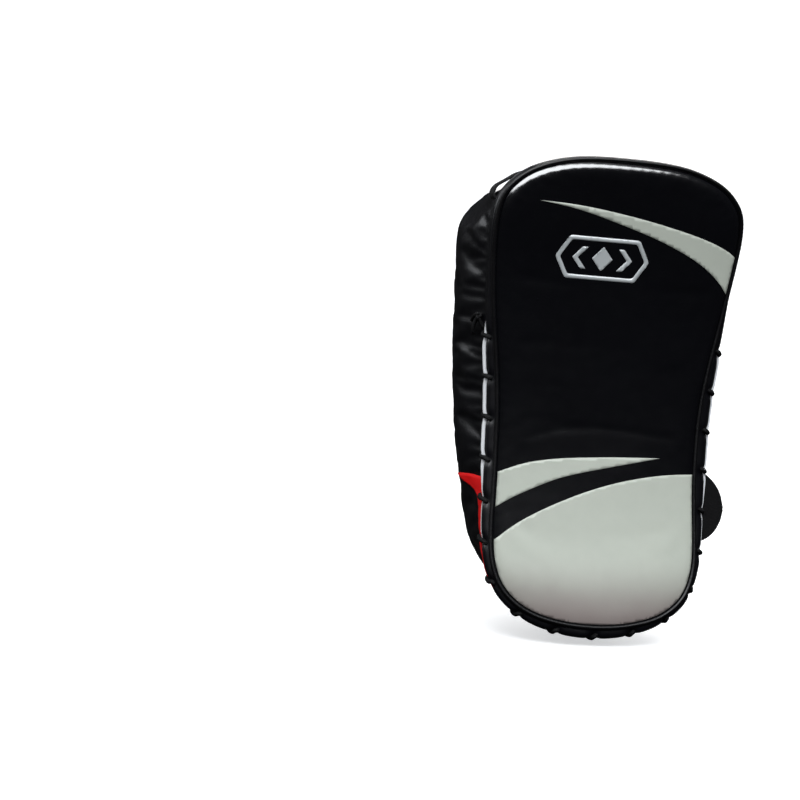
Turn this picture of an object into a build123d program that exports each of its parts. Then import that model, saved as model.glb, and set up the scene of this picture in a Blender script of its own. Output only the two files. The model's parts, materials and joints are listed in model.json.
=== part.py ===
from build123d import *
import math
import os

# Curved kick shield with a laced-on strike cap, a foam body, two forearm straps and a grip.
# Millimetres.  +X right, +Y towards the holder, +Z up (the wide end, where the hand is).
# The origin is the centre of the flat top of the forearm bed; the strike face is on the -Y side.
# "Depth" is measured behind the strike face, square to its bend.

os.makedirs("parts", exist_ok=True)

# ---- driving dimensions ----
BEND_R = 600.0          # bend radius of the strike face, ends turned to the striker
CAP_T = 9.2             # thickness of the strike cap
LINER_T = 3.0           # pale edge strip between cap and body
PAD_T = 100.0           # strike face to back panel
BED_T = 14.0            # forearm bed height above the back panel at mid length
LEATHER_T = 2.0
PIPING_R = 1.8
PATCH_T = 2.0           # patches sewn on the back panel

FACE_Y = -(PAD_T + BED_T)
BEND_Y = FACE_Y - BEND_R        # axis of the bend, parallel to X at z = 0
BODY_START = CAP_T + LINER_T + 0.1
FULL_DEPTH = 72                 # depth at which the body is widest
GUSSET_END = 97.0

DRUM_LENGTH = 600
CUT_Y = -330.0                  # cutting prisms start in front of the whole shield
CUT_LENGTH = 410.0
OUTLINE_STEPS = 72

# Half outlines from top to bottom: (z, half width)
FACE = [
    (206.8, 0), (206.5, 22), (205.4, 40), (202.8, 57), (197.6, 75), (189.8, 91),
    (180, 102.5), (169.5, 109.8), (158, 113), (146, 114), (130, 113.5), (110, 112),
    (88, 109.5), (66, 106.6), (44, 103.2), (22, 99.9), (0, 97.2), (-22, 95.6),
    (-50, 95.0), (-80, 95.2), (-110, 96.1), (-132, 96.4), (-146, 95.6), (-158, 93.0),
    (-169, 88.8), (-179, 82.0), (-187.5, 72.5), (-195, 59.5), (-200.4, 43), (-204, 23),
    (-205.2, 0)]
# foam body at its fullest depth
BODY = [
    (193, 0), (192, 32), (188.5, 60), (183, 80), (176, 95), (168.5, 108.5), (160, 118.5),
    (150, 124.4), (136, 126.2), (115, 125.4), (90, 123.4), (60, 121.4), (30, 119.0),
    (0, 116.2), (-30, 113.2), (-60, 109.8), (-85, 105.8), (-107, 101.2), (-128, 96.5),
    (-146, 91.0), (-162, 83.0), (-175, 72.0), (-185, 57.5), (-191, 40), (-194, 20),
    (-195, 0)]
# How far the laced edge stands outside the piping: (z, width)
LACE_TOP_WIDTH = 1.6
LACE_EDGE = [
    (-205.2, 7.8), (-204, 7.4), (-200.4, 6.4), (-195, 5.4), (-187.5, 4.7), (-172, 4.2),
    (-150, 4.4), (-120, 5.6), (-90, 7.0), (-60, 7.8), (-30, 8.0), (0, 7.4), (30, 6.2),
    (60, 4.4), (88, 2.8), (112, LACE_TOP_WIDTH), (240, LACE_TOP_WIDTH)]


# ---- outlines: closed lists of (x, z), clockwise seen from the front ----
def full_outline(half):
    """Mirrors a half outline and resamples it at equal steps of arc length."""
    right = [(width, z) for z, width in half]
    left = [(-width, z) for z, width in reversed(half[1:-1])]
    curve = Edge.make_spline([Vector(x, 0, z) for x, z in right + left], periodic=True)
    points = [curve.position_at(i / OUTLINE_STEPS) for i in range(OUTLINE_STEPS)]
    return [(p.X, p.Z) for p in points]


def offset_outline(outline, amount):
    """Moves each point along the outward normal; amount is a number or f(x, z)."""
    moved = []
    for i, (x, z) in enumerate(outline):
        before_x, before_z = outline[i - 1]
        after_x, after_z = outline[(i + 1) % len(outline)]
        dx, dz = after_x - before_x, after_z - before_z
        length = math.hypot(dx, dz)
        distance = amount(x, z) if callable(amount) else amount
        moved.append((x - dz / length * distance, z + dx / length * distance))
    return moved


def inside_piping(edge, gap):
    return offset_outline(edge, -2 * PIPING_R - gap)


def between(a, b, share):
    return (a[0] + (b[0] - a[0]) * share, a[1] + (b[1] - a[1]) * share)


def smooth_step(start, end, value):
    share = max(0.0, min(1.0, (value - start) / (end - start)))
    return share * share * (3 - 2 * share)


def lace_width(x, z):
    """Width from LACE_EDGE, made greater on the right and less on the left."""
    z_in = max(-205.2, min(239.0, z))
    for (z0, w0), (z1, w1) in zip(LACE_EDGE, LACE_EDGE[1:]):
        if z0 <= z_in <= z1:
            width = w0 + (w1 - w0) * (z_in - z0) / (z1 - z0)
            break
    lean = 0.32 * x / 95.0 * smooth_step(-200, -140, z_in)
    return width + (width - LACE_TOP_WIDTH) * lean


FACE_OUTLINE = full_outline(FACE)
BODY_OUTLINE = full_outline(BODY)
LACE_OUTLINE = offset_outline(FACE_OUTLINE, lace_width)
BODY_FRONT = offset_outline(LACE_OUTLINE, -1.2)


def body_outline(depth):
    """Outer skin of the body: swells to its fullest depth, then draws in to the back."""
    if depth <= BODY_START:
        return BODY_FRONT
    if depth < FULL_DEPTH:
        turn = (depth - BODY_START) / (FULL_DEPTH - BODY_START) * math.pi / 2
        share = math.sin(turn) ** 1.1
        return [between(a, b, share) for a, b in zip(BODY_FRONT, BODY_OUTLINE)]
    share = (depth - FULL_DEPTH) / (PAD_T - FULL_DEPTH)
    return offset_outline(BODY_OUTLINE, -9.5 * share ** 2.2)


# ---- solids that follow the bend ----
def y_at(z, depth):
    radius = BEND_R + depth
    return BEND_Y + math.sqrt(radius * radius - z * z)


def closed_solid(faces):
    """Solid inside the faces, turned right side out if need be."""
    solid = Solid(Shell(faces))
    if solid.volume < 0:
        solid = Solid(Shell([-face for face in faces]))
    return solid


def edge_loop(sections):
    """Closed band round the shield; its cross-section's corners are (outline, depth)."""
    edges = [
        Edge.make_spline([Vector(x, y_at(z, depth), z) for x, z in outline], periodic=True)
        for outline, depth in sections]
    return closed_solid([
        Face.make_surface_from_curves(edge, following)
        for edge, following in zip(edges, edges[1:] + edges[:1])])


def piping(center_outline, depth):
    """Round piping with an eight-sided section."""
    sections = []
    for k in range(8):
        angle = math.radians(45 * k + 22.5)
        outline = offset_outline(center_outline, PIPING_R * math.cos(angle))
        sections.append((outline, depth + PIPING_R * math.sin(angle)))
    return edge_loop(sections)


def cut_points(points):
    return [Vector(x, CUT_Y, z) for x, z in points]


def cut_prism(wire):
    return Solid.extrude(Face(wire), Vector(0, CUT_LENGTH, 0))


def smooth_prism(outline):
    return cut_prism(Wire([Edge.make_spline(cut_points(outline), periodic=True)]))


def drum(depth):
    """Cylinder about the bend axis whose back is at the given depth."""
    plane = Plane(origin=(-DRUM_LENGTH / 2, BEND_Y, 0), x_dir=(0, 1, 0), z_dir=(1, 0, 0))
    return Solid.make_cylinder(BEND_R + depth, DRUM_LENGTH, plane)


def slab(front, back):
    """Curved sheet between two depths."""
    sheet = drum(back) - drum(front)
    return sheet & (Pos(0, FACE_Y, 0) * Box(620, 600, 520))


def write(name, *shapes):
    solids = [solid for shape in shapes for solid in shape.solids()]
    piece = solids[0] if len(solids) == 1 else Compound(children=solids)
    piece.label = name
    export_step(piece, f"parts/{name}.step")


# ---- strike cap ----
def cap_side_band():
    inner = inside_piping(FACE_OUTLINE, 0.1)
    front_depth = 3.0
    return edge_loop([
        (inner, front_depth), (offset_outline(FACE_OUTLINE, -0.3), front_depth),
        (LACE_OUTLINE, CAP_T - 1.4), (LACE_OUTLINE, CAP_T), (inner, CAP_T)])


write("strike_face_panel", slab(0, LEATHER_T) & smooth_prism(inside_piping(FACE_OUTLINE, 0.2)))
write("front_piping", piping(offset_outline(FACE_OUTLINE, -PIPING_R), depth=1.0))
write("cap_side_band", cap_side_band())
write("strike_foam_sheet",
      slab(LEATHER_T + 0.05, CAP_T) & smooth_prism(inside_piping(FACE_OUTLINE, 0.5)))

# ---- light panels on the strike face ----
# Each panel is a closed run of curves, as (x, z); a pair of points is a straight line.
FACE_PANELS = {
    "upper_flash_panel": [
        [(-78.0, 164.9), (-43.2, 163.8), (-14.8, 160.9), (15.9, 156.5), (47.4, 150.7),
         (78.5, 143.4), (100.8, 135.4), (127.3, 119.8)],
        [(127.3, 119.8), (128.7, 65.3)],
        [(128.7, 65.3), (108.6, 95.5), (94.0, 110.2), (77.6, 121.4), (55.5, 131.9),
         (28.0, 141.8), (-2.3, 150.4), (-42.4, 160.0), (-78.0, 164.9)]],
    "lower_swoosh_panel": [
        [(-113.5, -85.0), (-93.5, -75.1), (-68.4, -64.9), (-38.1, -58.8), (-7.3, -55.9),
         (26.6, -53.9), (57.6, -52.9)],
        [(57.6, -52.9), (28.1, -59.6), (-6.7, -67.8), (-37.2, -76.5), (-64.5, -88.5),
         (-82.4, -98.1), (-114.5, -124.4)],
        [(-114.5, -124.4), (-113.5, -85.0)]],
    "lower_field_panel": [
        [(-115.4, -155.0), (-93.1, -133.9), (-75.3, -119.4), (-51.9, -105.3), (-20.7, -90.7),
         (9.8, -79.5), (41.1, -71.5), (72.8, -66.8), (114.2, -65.6)],
        [(114.2, -65.6), (114.2, -230)],
        [(114.2, -230), (-115.4, -230)],
        [(-115.4, -230), (-115.4, -155)]],
}
panel_sheet = slab(-0.8, -0.05)
panel_trim = smooth_prism(inside_piping(FACE_OUTLINE, 1.6))


def face_panel(curves):
    edges = []
    for curve in curves:
        points = cut_points(curve)
        edges.append(Edge.make_spline(points) if len(points) > 2 else Edge.make_line(*points))
    return panel_sheet & cut_prism(Wire(edges)) & panel_trim


for panel_name, panel_curves in FACE_PANELS.items():
    write(panel_name, face_panel(panel_curves))

# ---- badge: long hexagon frame round a lozenge and two chevrons ----
BADGE_X, BADGE_Z = -14.7, 119.6
# (x, z) from the badge centre
LOZENGE = [(-9.5, 0), (0, 10.5), (9.5, 0), (0, -10.5)]
RIGHT_CHEVRON = [(14, 9.5), (19, 9.5), (27.5, 0), (19, -9.5), (14, -9.5), (22.5, 0)]
LEFT_CHEVRON = [(-14, 9.5), (-22.5, 0), (-14, -9.5), (-19, -9.5), (-27.5, 0), (-19, 9.5)]


def hexagon(tip, shoulder, height):
    """Long hexagon from its half length, half flat length and half height."""
    return [(-tip, 0), (-shoulder, height), (shoulder, height),
            (tip, 0), (shoulder, -height), (-shoulder, -height)]


def badge_prism(points):
    placed = cut_points([(BADGE_X + x, BADGE_Z + z) for x, z in points])
    return cut_prism(Wire.make_polygon(placed, close=True))


def face_badge():
    sheet = slab(-0.7, -0.05)
    frame = (sheet & badge_prism(hexagon(43, 32, 18.5))) - badge_prism(hexagon(38.8, 29.8, 15.0))
    marks = [sheet & badge_prism(mark) for mark in (LOZENGE, RIGHT_CHEVRON, LEFT_CHEVRON)]
    return [frame, *marks]


write("face_badge", *face_badge())


# ---- pale edge strip and lacing ----
def edge_liner():
    def overhang(x, z):
        return 1.8 * smooth_step(80, 50, z) - 0.6 * smooth_step(50, 80, z)

    outer = offset_outline(LACE_OUTLINE, overhang)
    inner = offset_outline(LACE_OUTLINE, -14)
    front, back = CAP_T + 0.1, CAP_T + LINER_T
    return edge_loop([(inner, front), (outer, front), (outer, back), (inner, back)])


LACE_R = 2.25
LACE_PITCH = 36.0
LACE_COUNT = 19
LAST_STITCH = (LACE_COUNT - 1) / 2      # stitches are counted both ways from the bottom
lace_curve = Edge.make_spline([Vector(x, 0, z) for x, z in LACE_OUTLINE], periodic=True)
lace_length = lace_curve.length


def lace_place(step, standoff):
    """Laced edge at a stitch step: edge z, tangent, and the (x, z) standing off outside it."""
    along = 0.5 + step * LACE_PITCH / lace_length       # 0.5 is the bottom of the outline
    point = lace_curve.position_at(along)
    tangent = lace_curve.tangent_at(along)
    return point.Z, tangent, point.X - tangent.Z * standoff, point.Z + tangent.X * standoff


def lace_stitch(step):
    skew = 1.6
    edge_z, tangent, x, z = lace_place(step, LACE_R + 2.4)
    front = Vector(x - tangent.X * skew, y_at(edge_z, 5.2), z - tangent.Z * skew)
    back = Vector(x + tangent.X * skew, y_at(edge_z, 17.0), z + tangent.Z * skew)
    run = back - front
    rod = Solid.make_cylinder(LACE_R, run.length, Plane(origin=front, z_dir=run))
    return rod + Pos(front) * Sphere(LACE_R) + Pos(back) * Sphere(LACE_R)


def lace_knot():
    """Knot with two tails, at the top of the laced run on the left."""
    edge_z, _, x, z = lace_place(LAST_STITCH + 0.5, 5.2)
    y = y_at(edge_z, 18.0)
    knot = Pos(x, y, z) * Sphere(3.9)
    for length, direction in ((17, (-0.12, 0.55, -1)), (14, (-0.12, 1, -0.25))):
        plane = Plane(origin=(x - 0.8, y + 2, z), z_dir=direction)
        knot = knot + Solid.make_cylinder(1.9, length, plane)
    return knot


write("edge_liner", edge_liner())
write("lace_stitches", *[lace_stitch(k - LAST_STITCH) for k in range(LACE_COUNT)])
write("lace_knot", lace_knot())

# ---- foam body ----
GUSSET_DEPTHS = [BODY_START, 18, 26, 36, 48, 60, FULL_DEPTH, 80, 87, 93, GUSSET_END]
# name, front depth, back depth, inset from the skin, gap in front
FOAM_LAYERS = [
    ("front_foam_layer", BODY_START, 39.9, 6.6, 0.05),
    ("middle_foam_layer", 40.0, 69.9, 5.0, 0),
    ("rear_foam_layer", 70.0, GUSSET_END, 5.0, 0),
]


def body_side_gusset():
    outer = [(body_outline(d), d) for d in GUSSET_DEPTHS]
    inner = [(offset_outline(outline, -LEATHER_T), d) for outline, d in reversed(outer)]
    return edge_loop(outer + inner)


def foam_layer(front, back, inset, gap):
    """Layer whose outline stays inside the cover at both its depths."""
    pairs = zip(body_outline(front), body_outline(back))
    nearer = [a if math.hypot(*a) < math.hypot(*b) else b for a, b in pairs]
    return slab(front + gap, back) & smooth_prism(offset_outline(nearer, -inset))


write("body_side_gusset", body_side_gusset())
for layer_name, *layer in FOAM_LAYERS:
    write(layer_name, foam_layer(*layer))

back_edge = body_outline(GUSSET_END)
write("rear_piping", piping(offset_outline(back_edge, -PIPING_R + 0.2), depth=98.9))
write("back_panel", slab(PAD_T - LEATHER_T, PAD_T) & smooth_prism(inside_piping(back_edge, 0.1)))

# ---- side flashes: a thin skin piece over the gusset on each lower flank ----
FLASH_TOP, FLASH_BOTTOM = -74, -168
FLASH_FRONT = 15.0      # depth of the front edge
FLASH_COLUMNS = 6       # stations from front to back


def slide(outline, i, dz):
    """Point of a closed outline moved by dz along it from index i."""
    count = len(outline)
    place = i + dz / (outline[(i + 1) % count][1] - outline[i][1])
    j = math.floor(place)
    return between(outline[j % count], outline[(j + 1) % count], place - j)


def flash_grid(indices, lift):
    """Rows of points from top to bottom, standing off the skin by lift."""
    grid = []
    for i in indices:
        fall = (BODY_OUTLINE[i][1] - FLASH_TOP) / (FLASH_BOTTOM - FLASH_TOP)
        back = 22.0 + 54.0 * (1 - smooth_step(0.0, 0.27, fall))
        row = []
        for m in range(FLASH_COLUMNS):
            depth = FLASH_FRONT + (back - FLASH_FRONT) * m / (FLASH_COLUMNS - 1)
            dz = -8.0 * (depth - FLASH_FRONT) / 60.0    # the top edge falls towards the back
            x, z = slide(offset_outline(body_outline(depth), lift), i, dz)
            row.append(Vector(x, y_at(z, depth), z))
        grid.append(row)
    return grid


def side_flash(side):
    indices = [i for i, (x, z) in enumerate(BODY_OUTLINE)
               if side * x > 40 and FLASH_BOTTOM < z < FLASH_TOP]
    indices.sort(key=lambda i: -BODY_OUTLINE[i][1])
    outer, inner = flash_grid(indices, 2.0), flash_grid(indices, 0.9)
    last = FLASH_COLUMNS - 1
    outer_curves, inner_curves = [
        [Edge.make_spline([row[m] for row in grid]) for m in range(FLASH_COLUMNS)]
        for grid in (outer, inner)]
    pairs = [(curves[m], curves[m + 1])
             for curves in (outer_curves, inner_curves) for m in range(last)]
    pairs += [(outer_curves[m], inner_curves[m]) for m in (0, last)]
    for r in (0, len(indices) - 1):
        for m in range(last):
            pairs.append((Edge.make_line(outer[r][m], outer[r][m + 1]),
                          Edge.make_line(inner[r][m], inner[r][m + 1])))
    return closed_solid([Face.make_surface_from_curves(a, b) for a, b in pairs])


write("side_flash_panels", side_flash(1), side_flash(-1))


# ---- strips ----
def shifted(points, distance, steps):
    """Smooth curve through points, resampled and moved to the right of its travel."""
    curve = Edge.make_spline([Vector(a, b, 0) for a, b in points])
    moved = []
    for i in range(steps + 1):
        point = curve.position_at(i / steps)
        tangent = curve.tangent_at(i / steps)
        moved.append((point.X + tangent.Y * distance, point.Y - tangent.X * distance))
    return moved


def ribbon(points, thickness, plane, start, end):
    """Strip along a smooth curve in plane, extruded from start to end along its normal."""
    left, right = [
        [Vector(a, b, 0) for a, b in shifted(points, distance, 28)]
        for distance in (-thickness / 2, thickness / 2)]
    outline = Wire([
        Edge.make_spline(left), Edge.make_line(left[-1], right[-1]),
        Edge.make_spline(right[::-1]), Edge.make_line(right[0], left[0])])
    strip = Solid.extrude(Pos(0, 0, start) * Face(outline), Vector(0, 0, end - start))
    return plane.location * strip


# hanging loop at the upper left corner, (x, z)
HANGING_LOOP = [(-109.5, 163.0), (-114.6, 168.6), (-112.6, 175.4), (-106.0, 180.6),
                (-98.6, 185.6), (-91.5, 189.6), (-84.0, 190.6)]
front_plane = Plane(origin=(0, 0, 0), x_dir=(1, 0, 0), z_dir=(0, -1, 0))
write("hanging_loop",
      ribbon(HANGING_LOOP, 1.6, front_plane, -y_at(180, 30.0), -y_at(180, 18.0)))

# ---- forearm bed ----
BED_HALF_WIDTH, BED_HALF_LENGTH = 41.0, 122.0
BED_CORNER_R = 26
BED_BLOCK_DEPTH = 60


def bed_block(inset):
    block = Pos(0, -BED_BLOCK_DEPTH / 2 - inset, 0) * Box(
        2 * (BED_HALF_WIDTH - inset), BED_BLOCK_DEPTH, 2 * (BED_HALF_LENGTH - inset))
    return fillet(block.edges().filter_by(Axis.Y), BED_CORNER_R - inset)


def forearm_bed_cover():
    block = bed_block(0)
    block = fillet(block.faces().sort_by(Axis.Y)[-1].edges(), 5)
    return block - drum(PAD_T + 0.05) - bed_block(2.2)


write("forearm_bed_cover", forearm_bed_cover())
write("forearm_bed_foam", bed_block(2.3) - drum(PAD_T + 0.1))

# ---- patches on the back panel ----
# Fittings are placed in a plane on the patches: u along X, v out from the pad, w up the pad.
patch_sheet = slab(PAD_T + 0.05, PAD_T + PATCH_T)
under_fittings = drum(PAD_T + PATCH_T + 0.03)


def fitting_plane(z):
    radius = BEND_R + PAD_T + PATCH_T
    cosine, sine = math.sqrt(radius * radius - z * z) / radius, z / radius
    return Plane(origin=(0, y_at(z, PAD_T + PATCH_T), z), x_dir=(1, 0, 0),
                 z_dir=(0, -sine, cosine))


def patch(plane, u_mid, length, width):
    block = fillet(Box(length, 60, width).edges().filter_by(Axis.Y), 6)
    return patch_sheet & (plane.location * (Pos(u_mid, 0, 0) * block))


# ---- forearm straps ----
STRAP_W = 75.0
STRAP_T = 2.5
STRAP_HALF_W = STRAP_W / 2
PATCH_MARGIN = 3.0
ROOT_SPAN = (52.0, 80.0)        # u of the strap root
ANCHOR_SPAN = (-81.0, -55.0)    # u of the ring anchor
RING_WIRE_R = 2.2
RING_L = 19.0
RING_LEAN = math.radians(100)
EYE_R = RING_WIRE_R + 0.06
EYE_WALL = 2.0
ANCHOR_W = 66
# the ring's anchored bar and its free bar, (u, v)
BAR_U, BAR_V = -62.0, 5.2
FREE_U, FREE_V = BAR_U + RING_L * math.cos(RING_LEAN), BAR_V + RING_L * math.sin(RING_LEAN)
# middle line of the strap band from root to ring, (u, v)
BAND = [(57, 0.6), (60.5, 20), (59.5, 42), (48, 63), (24, 76.5), (-3, 80), (-29, 75),
        (-50, 61), (-61.5, 45), (-65.2, 33.5)]
SHEET_T = 1.2                   # hook and loop sheets
LOOP_OFFSET = STRAP_T / 2 + SHEET_T / 2 + 0.02
HOOK_OFFSET = LOOP_OFFSET + SHEET_T + 0.06
TAIL_OFFSET = HOOK_OFFSET + SHEET_T / 2 + STRAP_T / 2 + 0.2
BAND_STEPS = 24
loop_line = shifted(BAND, LOOP_OFFSET, BAND_STEPS)[5:22]
hook_line = shifted(BAND, HOOK_OFFSET, BAND_STEPS)[::-1]
tail_line = shifted(BAND, TAIL_OFFSET, BAND_STEPS)[::-1]
# name, z, last points of the tail (u, v), whether its tip is rounded
STRAPS = [
    ("upper", 44.0, [(68.5, 44), (73, 31), (78, 19)], False),
    ("lower", -95.0, [(73, 40.5), (90, 28), (112, 20), (140, 15.5), (168, 13)], True),
]


def strap_patches(span):
    u_mid, length = sum(span) / 2, span[1] - span[0] + 2 * PATCH_MARGIN
    return [patch(fitting_plane(z), u_mid, length, STRAP_W + 8) for _, z, _, _ in STRAPS]


def strap_ribbon(points, thickness, plane, margin=0):
    half = STRAP_HALF_W - margin
    return ribbon(points, thickness, plane, -half, half)


def strap_band(plane):
    foot_start, foot_end = 56.2, ROOT_SPAN[1]
    foot = plane.location * (Pos((foot_end + foot_start) / 2, 0.4, 0) * Box(
        foot_end - foot_start, STRAP_T + 1.6, STRAP_W))
    return (strap_ribbon(BAND, STRAP_T, plane) + foot) - under_fittings


def strap_tail(plane, tail_end, rounded):
    """Tail from the ring over the arch and down the right side."""
    points = [(FREE_U - 4.6, FREE_V + 6.5)]
    points += [(u, v) for u, v in tail_line if v > FREE_V + 14 and u < 58.5]
    tail = strap_ribbon(points + tail_end, STRAP_T, plane)
    if not rounded:
        return tail
    tip, reach = tail_end[-1][0], 300
    cutter = Pos((tip - reach) / 2, 0, 0) * Box(tip + reach, 400, STRAP_W)
    tip_edges = cutter.edges().filter_by(Axis.Y).group_by(Axis.X)[-1]
    cutter = fillet(tip_edges, STRAP_HALF_W - 0.05)
    return tail & (plane.location * cutter)


def strap_ring(plane):
    """Rectangular wire ring that lies along the strap width."""
    bar = plane.from_local_coords(Vector(BAR_U, BAR_V, 0))
    free = plane.from_local_coords(Vector(FREE_U, FREE_V, 0))
    across = plane.z_dir
    ring_plane = Plane(origin=(bar + free) * 0.5, x_dir=across,
                       z_dir=across.cross((free - bar).normalized()))
    outline = RectangleRounded(2 * (STRAP_HALF_W + 3.6), RING_L, 4.5)
    path = ring_plane.location * Wire(outline.wire().edges())
    section = Plane(origin=path.position_at(0), z_dir=path.tangent_at(0))
    return Solid.sweep(Face(Wire([Edge.make_circle(RING_WIRE_R, section)])), path)


def ring_anchor(plane):
    """Webbing loop that carries the ring, flat on the anchor patch."""
    start = ANCHOR_SPAN[0]
    foot = Pos((start + BAR_U) / 2, 0.9, 0) * Box(BAR_U - start, 3.4, ANCHOR_W)
    eye = Pos(BAR_U, BAR_V, 0) * Cylinder(EYE_R + EYE_WALL, ANCHOR_W)
    hole = Pos(BAR_U, BAR_V, 0) * Cylinder(EYE_R, 80)
    return plane.location * ((foot + eye) - hole) - under_fittings


write("strap_root_patches", *strap_patches(ROOT_SPAN))
write("ring_anchor_patches", *strap_patches(ANCHOR_SPAN))
hook_points = [(u, v) for u, v in hook_line if v > FREE_V + 20 and u < 46]
for strap, strap_z, tail_end, rounded in STRAPS:
    plane = fitting_plane(strap_z)
    write(f"{strap}_strap_band", strap_band(plane))
    write(f"{strap}_loop_sheet", strap_ribbon(loop_line, SHEET_T, plane, margin=3))
    write(f"{strap}_strap_tail", strap_tail(plane, tail_end, rounded))
    write(f"{strap}_hook_sheet", strap_ribbon(hook_points, SHEET_T, plane, margin=4))
    write(f"{strap}_ring", strap_ring(plane))
    write(f"{strap}_ring_anchor", ring_anchor(plane))

# ---- grip ----
GRIP_Z = 140.0
GRIP_V = 44.0                   # height of the grip over the patches
GRIP_R = 15.0
COVER_R = GRIP_R + 3.5
COVER_BORE_R = GRIP_R + 2.0
SLEEVE_L = 84.0
GRIP_STRAP_T = 3.0
GRIP_STRAP_HALF_W = 14.0
RIVET_U = 74
RIVET_R = 2.0
# right half of the grip strap's middle line, (u, v)
HALF_ARCH = [(63.5, 8.5), (64.5, 22), (61.5, 35), (52, 43), (40, GRIP_V)]
GRIP_ARCH = HALF_ARCH + [(0, GRIP_V)] + [(-u, v) for u, v in reversed(HALF_ARCH)]
grip_plane = fitting_plane(GRIP_Z)


def on_grip(u, v, w, shape):
    return grip_plane.location * (Pos(u, v, w) * shape)


def grip_foot(side):
    foot = on_grip(side * 70, 0.9, 0, Box(26, 2.6, 32)) - under_fittings
    for w in (-9, 9):
        foot = foot - on_grip(side * RIVET_U, 0, w, Rot(90, 0, 0) * Cylinder(RIVET_R, 30))
    return foot


def rivet(u, w):
    shank = on_grip(u, 1.6, w, Rot(90, 0, 0) * Cylinder(RIVET_R - 0.03, 2.4))
    head = Cone(4.2, 2.6, 1.6, align=(Align.CENTER, Align.CENTER, Align.MIN))
    return shank + on_grip(u, 2.25, w, Rot(-90, 0, 0) * head)


def grip_tube(radius, length):
    return on_grip(0, GRIP_V, 0, Rot(0, 90, 0) * Cylinder(radius, length))


def grip_cover():
    tube = grip_tube(COVER_R, SLEEVE_L)
    tube = fillet(tube.edges().filter_by(GeomType.CIRCLE), 3)
    return tube - grip_tube(COVER_BORE_R, SLEEVE_L + 10)


def grip_foam():
    """Foam with a slot for the strap."""
    slot = on_grip(0, GRIP_V, 0, Box(SLEEVE_L + 20, 4.8, 29.0))
    return grip_tube(COVER_BORE_R - 0.05, SLEEVE_L - 2) - slot


write("grip_patches", *[patch(grip_plane, side * 68, 36, 46) for side in (-1, 1)])
write("grip_feet", *[grip_foot(side) for side in (-1, 1)])
write("grip_rivets", *[rivet(side * RIVET_U, w) for side in (-1, 1) for w in (-9, 9)])
write("grip_strap", ribbon(GRIP_ARCH, GRIP_STRAP_T, grip_plane,
                           -GRIP_STRAP_HALF_W, GRIP_STRAP_HALF_W))
write("grip_cover", grip_cover())
write("grip_foam", grip_foam())
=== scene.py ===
import json
import math
from functools import cache

import bmesh
import bpy
import numpy as np
from mathutils import Matrix, Vector
from mathutils.bvhtree import BVHTree
from mathutils.geometry import delaunay_2d_cdt

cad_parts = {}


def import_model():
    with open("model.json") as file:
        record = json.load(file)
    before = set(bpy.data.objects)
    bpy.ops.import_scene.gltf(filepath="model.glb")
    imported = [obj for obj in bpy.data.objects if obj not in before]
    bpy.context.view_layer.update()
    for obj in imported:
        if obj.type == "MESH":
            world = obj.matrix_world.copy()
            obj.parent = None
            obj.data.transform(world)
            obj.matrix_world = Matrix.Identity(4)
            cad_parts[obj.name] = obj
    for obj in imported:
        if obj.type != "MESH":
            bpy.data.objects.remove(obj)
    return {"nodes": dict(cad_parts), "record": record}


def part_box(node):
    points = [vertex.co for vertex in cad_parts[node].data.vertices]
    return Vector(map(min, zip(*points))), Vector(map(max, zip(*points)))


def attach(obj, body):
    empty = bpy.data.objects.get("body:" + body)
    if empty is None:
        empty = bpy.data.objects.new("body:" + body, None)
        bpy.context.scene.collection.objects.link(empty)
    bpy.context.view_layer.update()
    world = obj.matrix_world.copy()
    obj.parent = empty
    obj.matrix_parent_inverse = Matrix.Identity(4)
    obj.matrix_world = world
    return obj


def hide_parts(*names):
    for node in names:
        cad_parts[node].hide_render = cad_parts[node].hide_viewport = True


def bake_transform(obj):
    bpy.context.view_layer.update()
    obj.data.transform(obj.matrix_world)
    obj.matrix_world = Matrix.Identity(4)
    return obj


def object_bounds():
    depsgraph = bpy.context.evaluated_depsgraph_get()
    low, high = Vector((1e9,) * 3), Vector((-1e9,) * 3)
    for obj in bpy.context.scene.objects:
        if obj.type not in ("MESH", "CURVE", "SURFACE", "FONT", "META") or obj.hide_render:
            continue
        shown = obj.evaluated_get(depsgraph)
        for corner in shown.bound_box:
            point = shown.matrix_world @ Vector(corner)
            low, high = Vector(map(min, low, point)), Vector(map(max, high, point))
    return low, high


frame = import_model()
CAD_LO, CAD_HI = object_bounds()

# ---------------------------------------------------------------------------
# driving sizes
# ---------------------------------------------------------------------------
MM = 0.001
BEND_R = 600.0                  # bend radius of the face
CAP_T, LINER_T, PAD_T = 9.2, 3.0, 100.0
PIPE_R = 1.8
FACE_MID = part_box("back_panel")[1].y / MM - PAD_T   # y of the face at z = 0
BEND_Y = FACE_MID - BEND_R
BODY_START = CAP_T + LINER_T + 0.1                  # depths below the face
BODY_FULL, BODY_END = 72.0, 98.4
REAR_EDGE = 97.0                # depth whose outline the rear seam follows
LACES, LACE_PITCH = 19, 36.0

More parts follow.
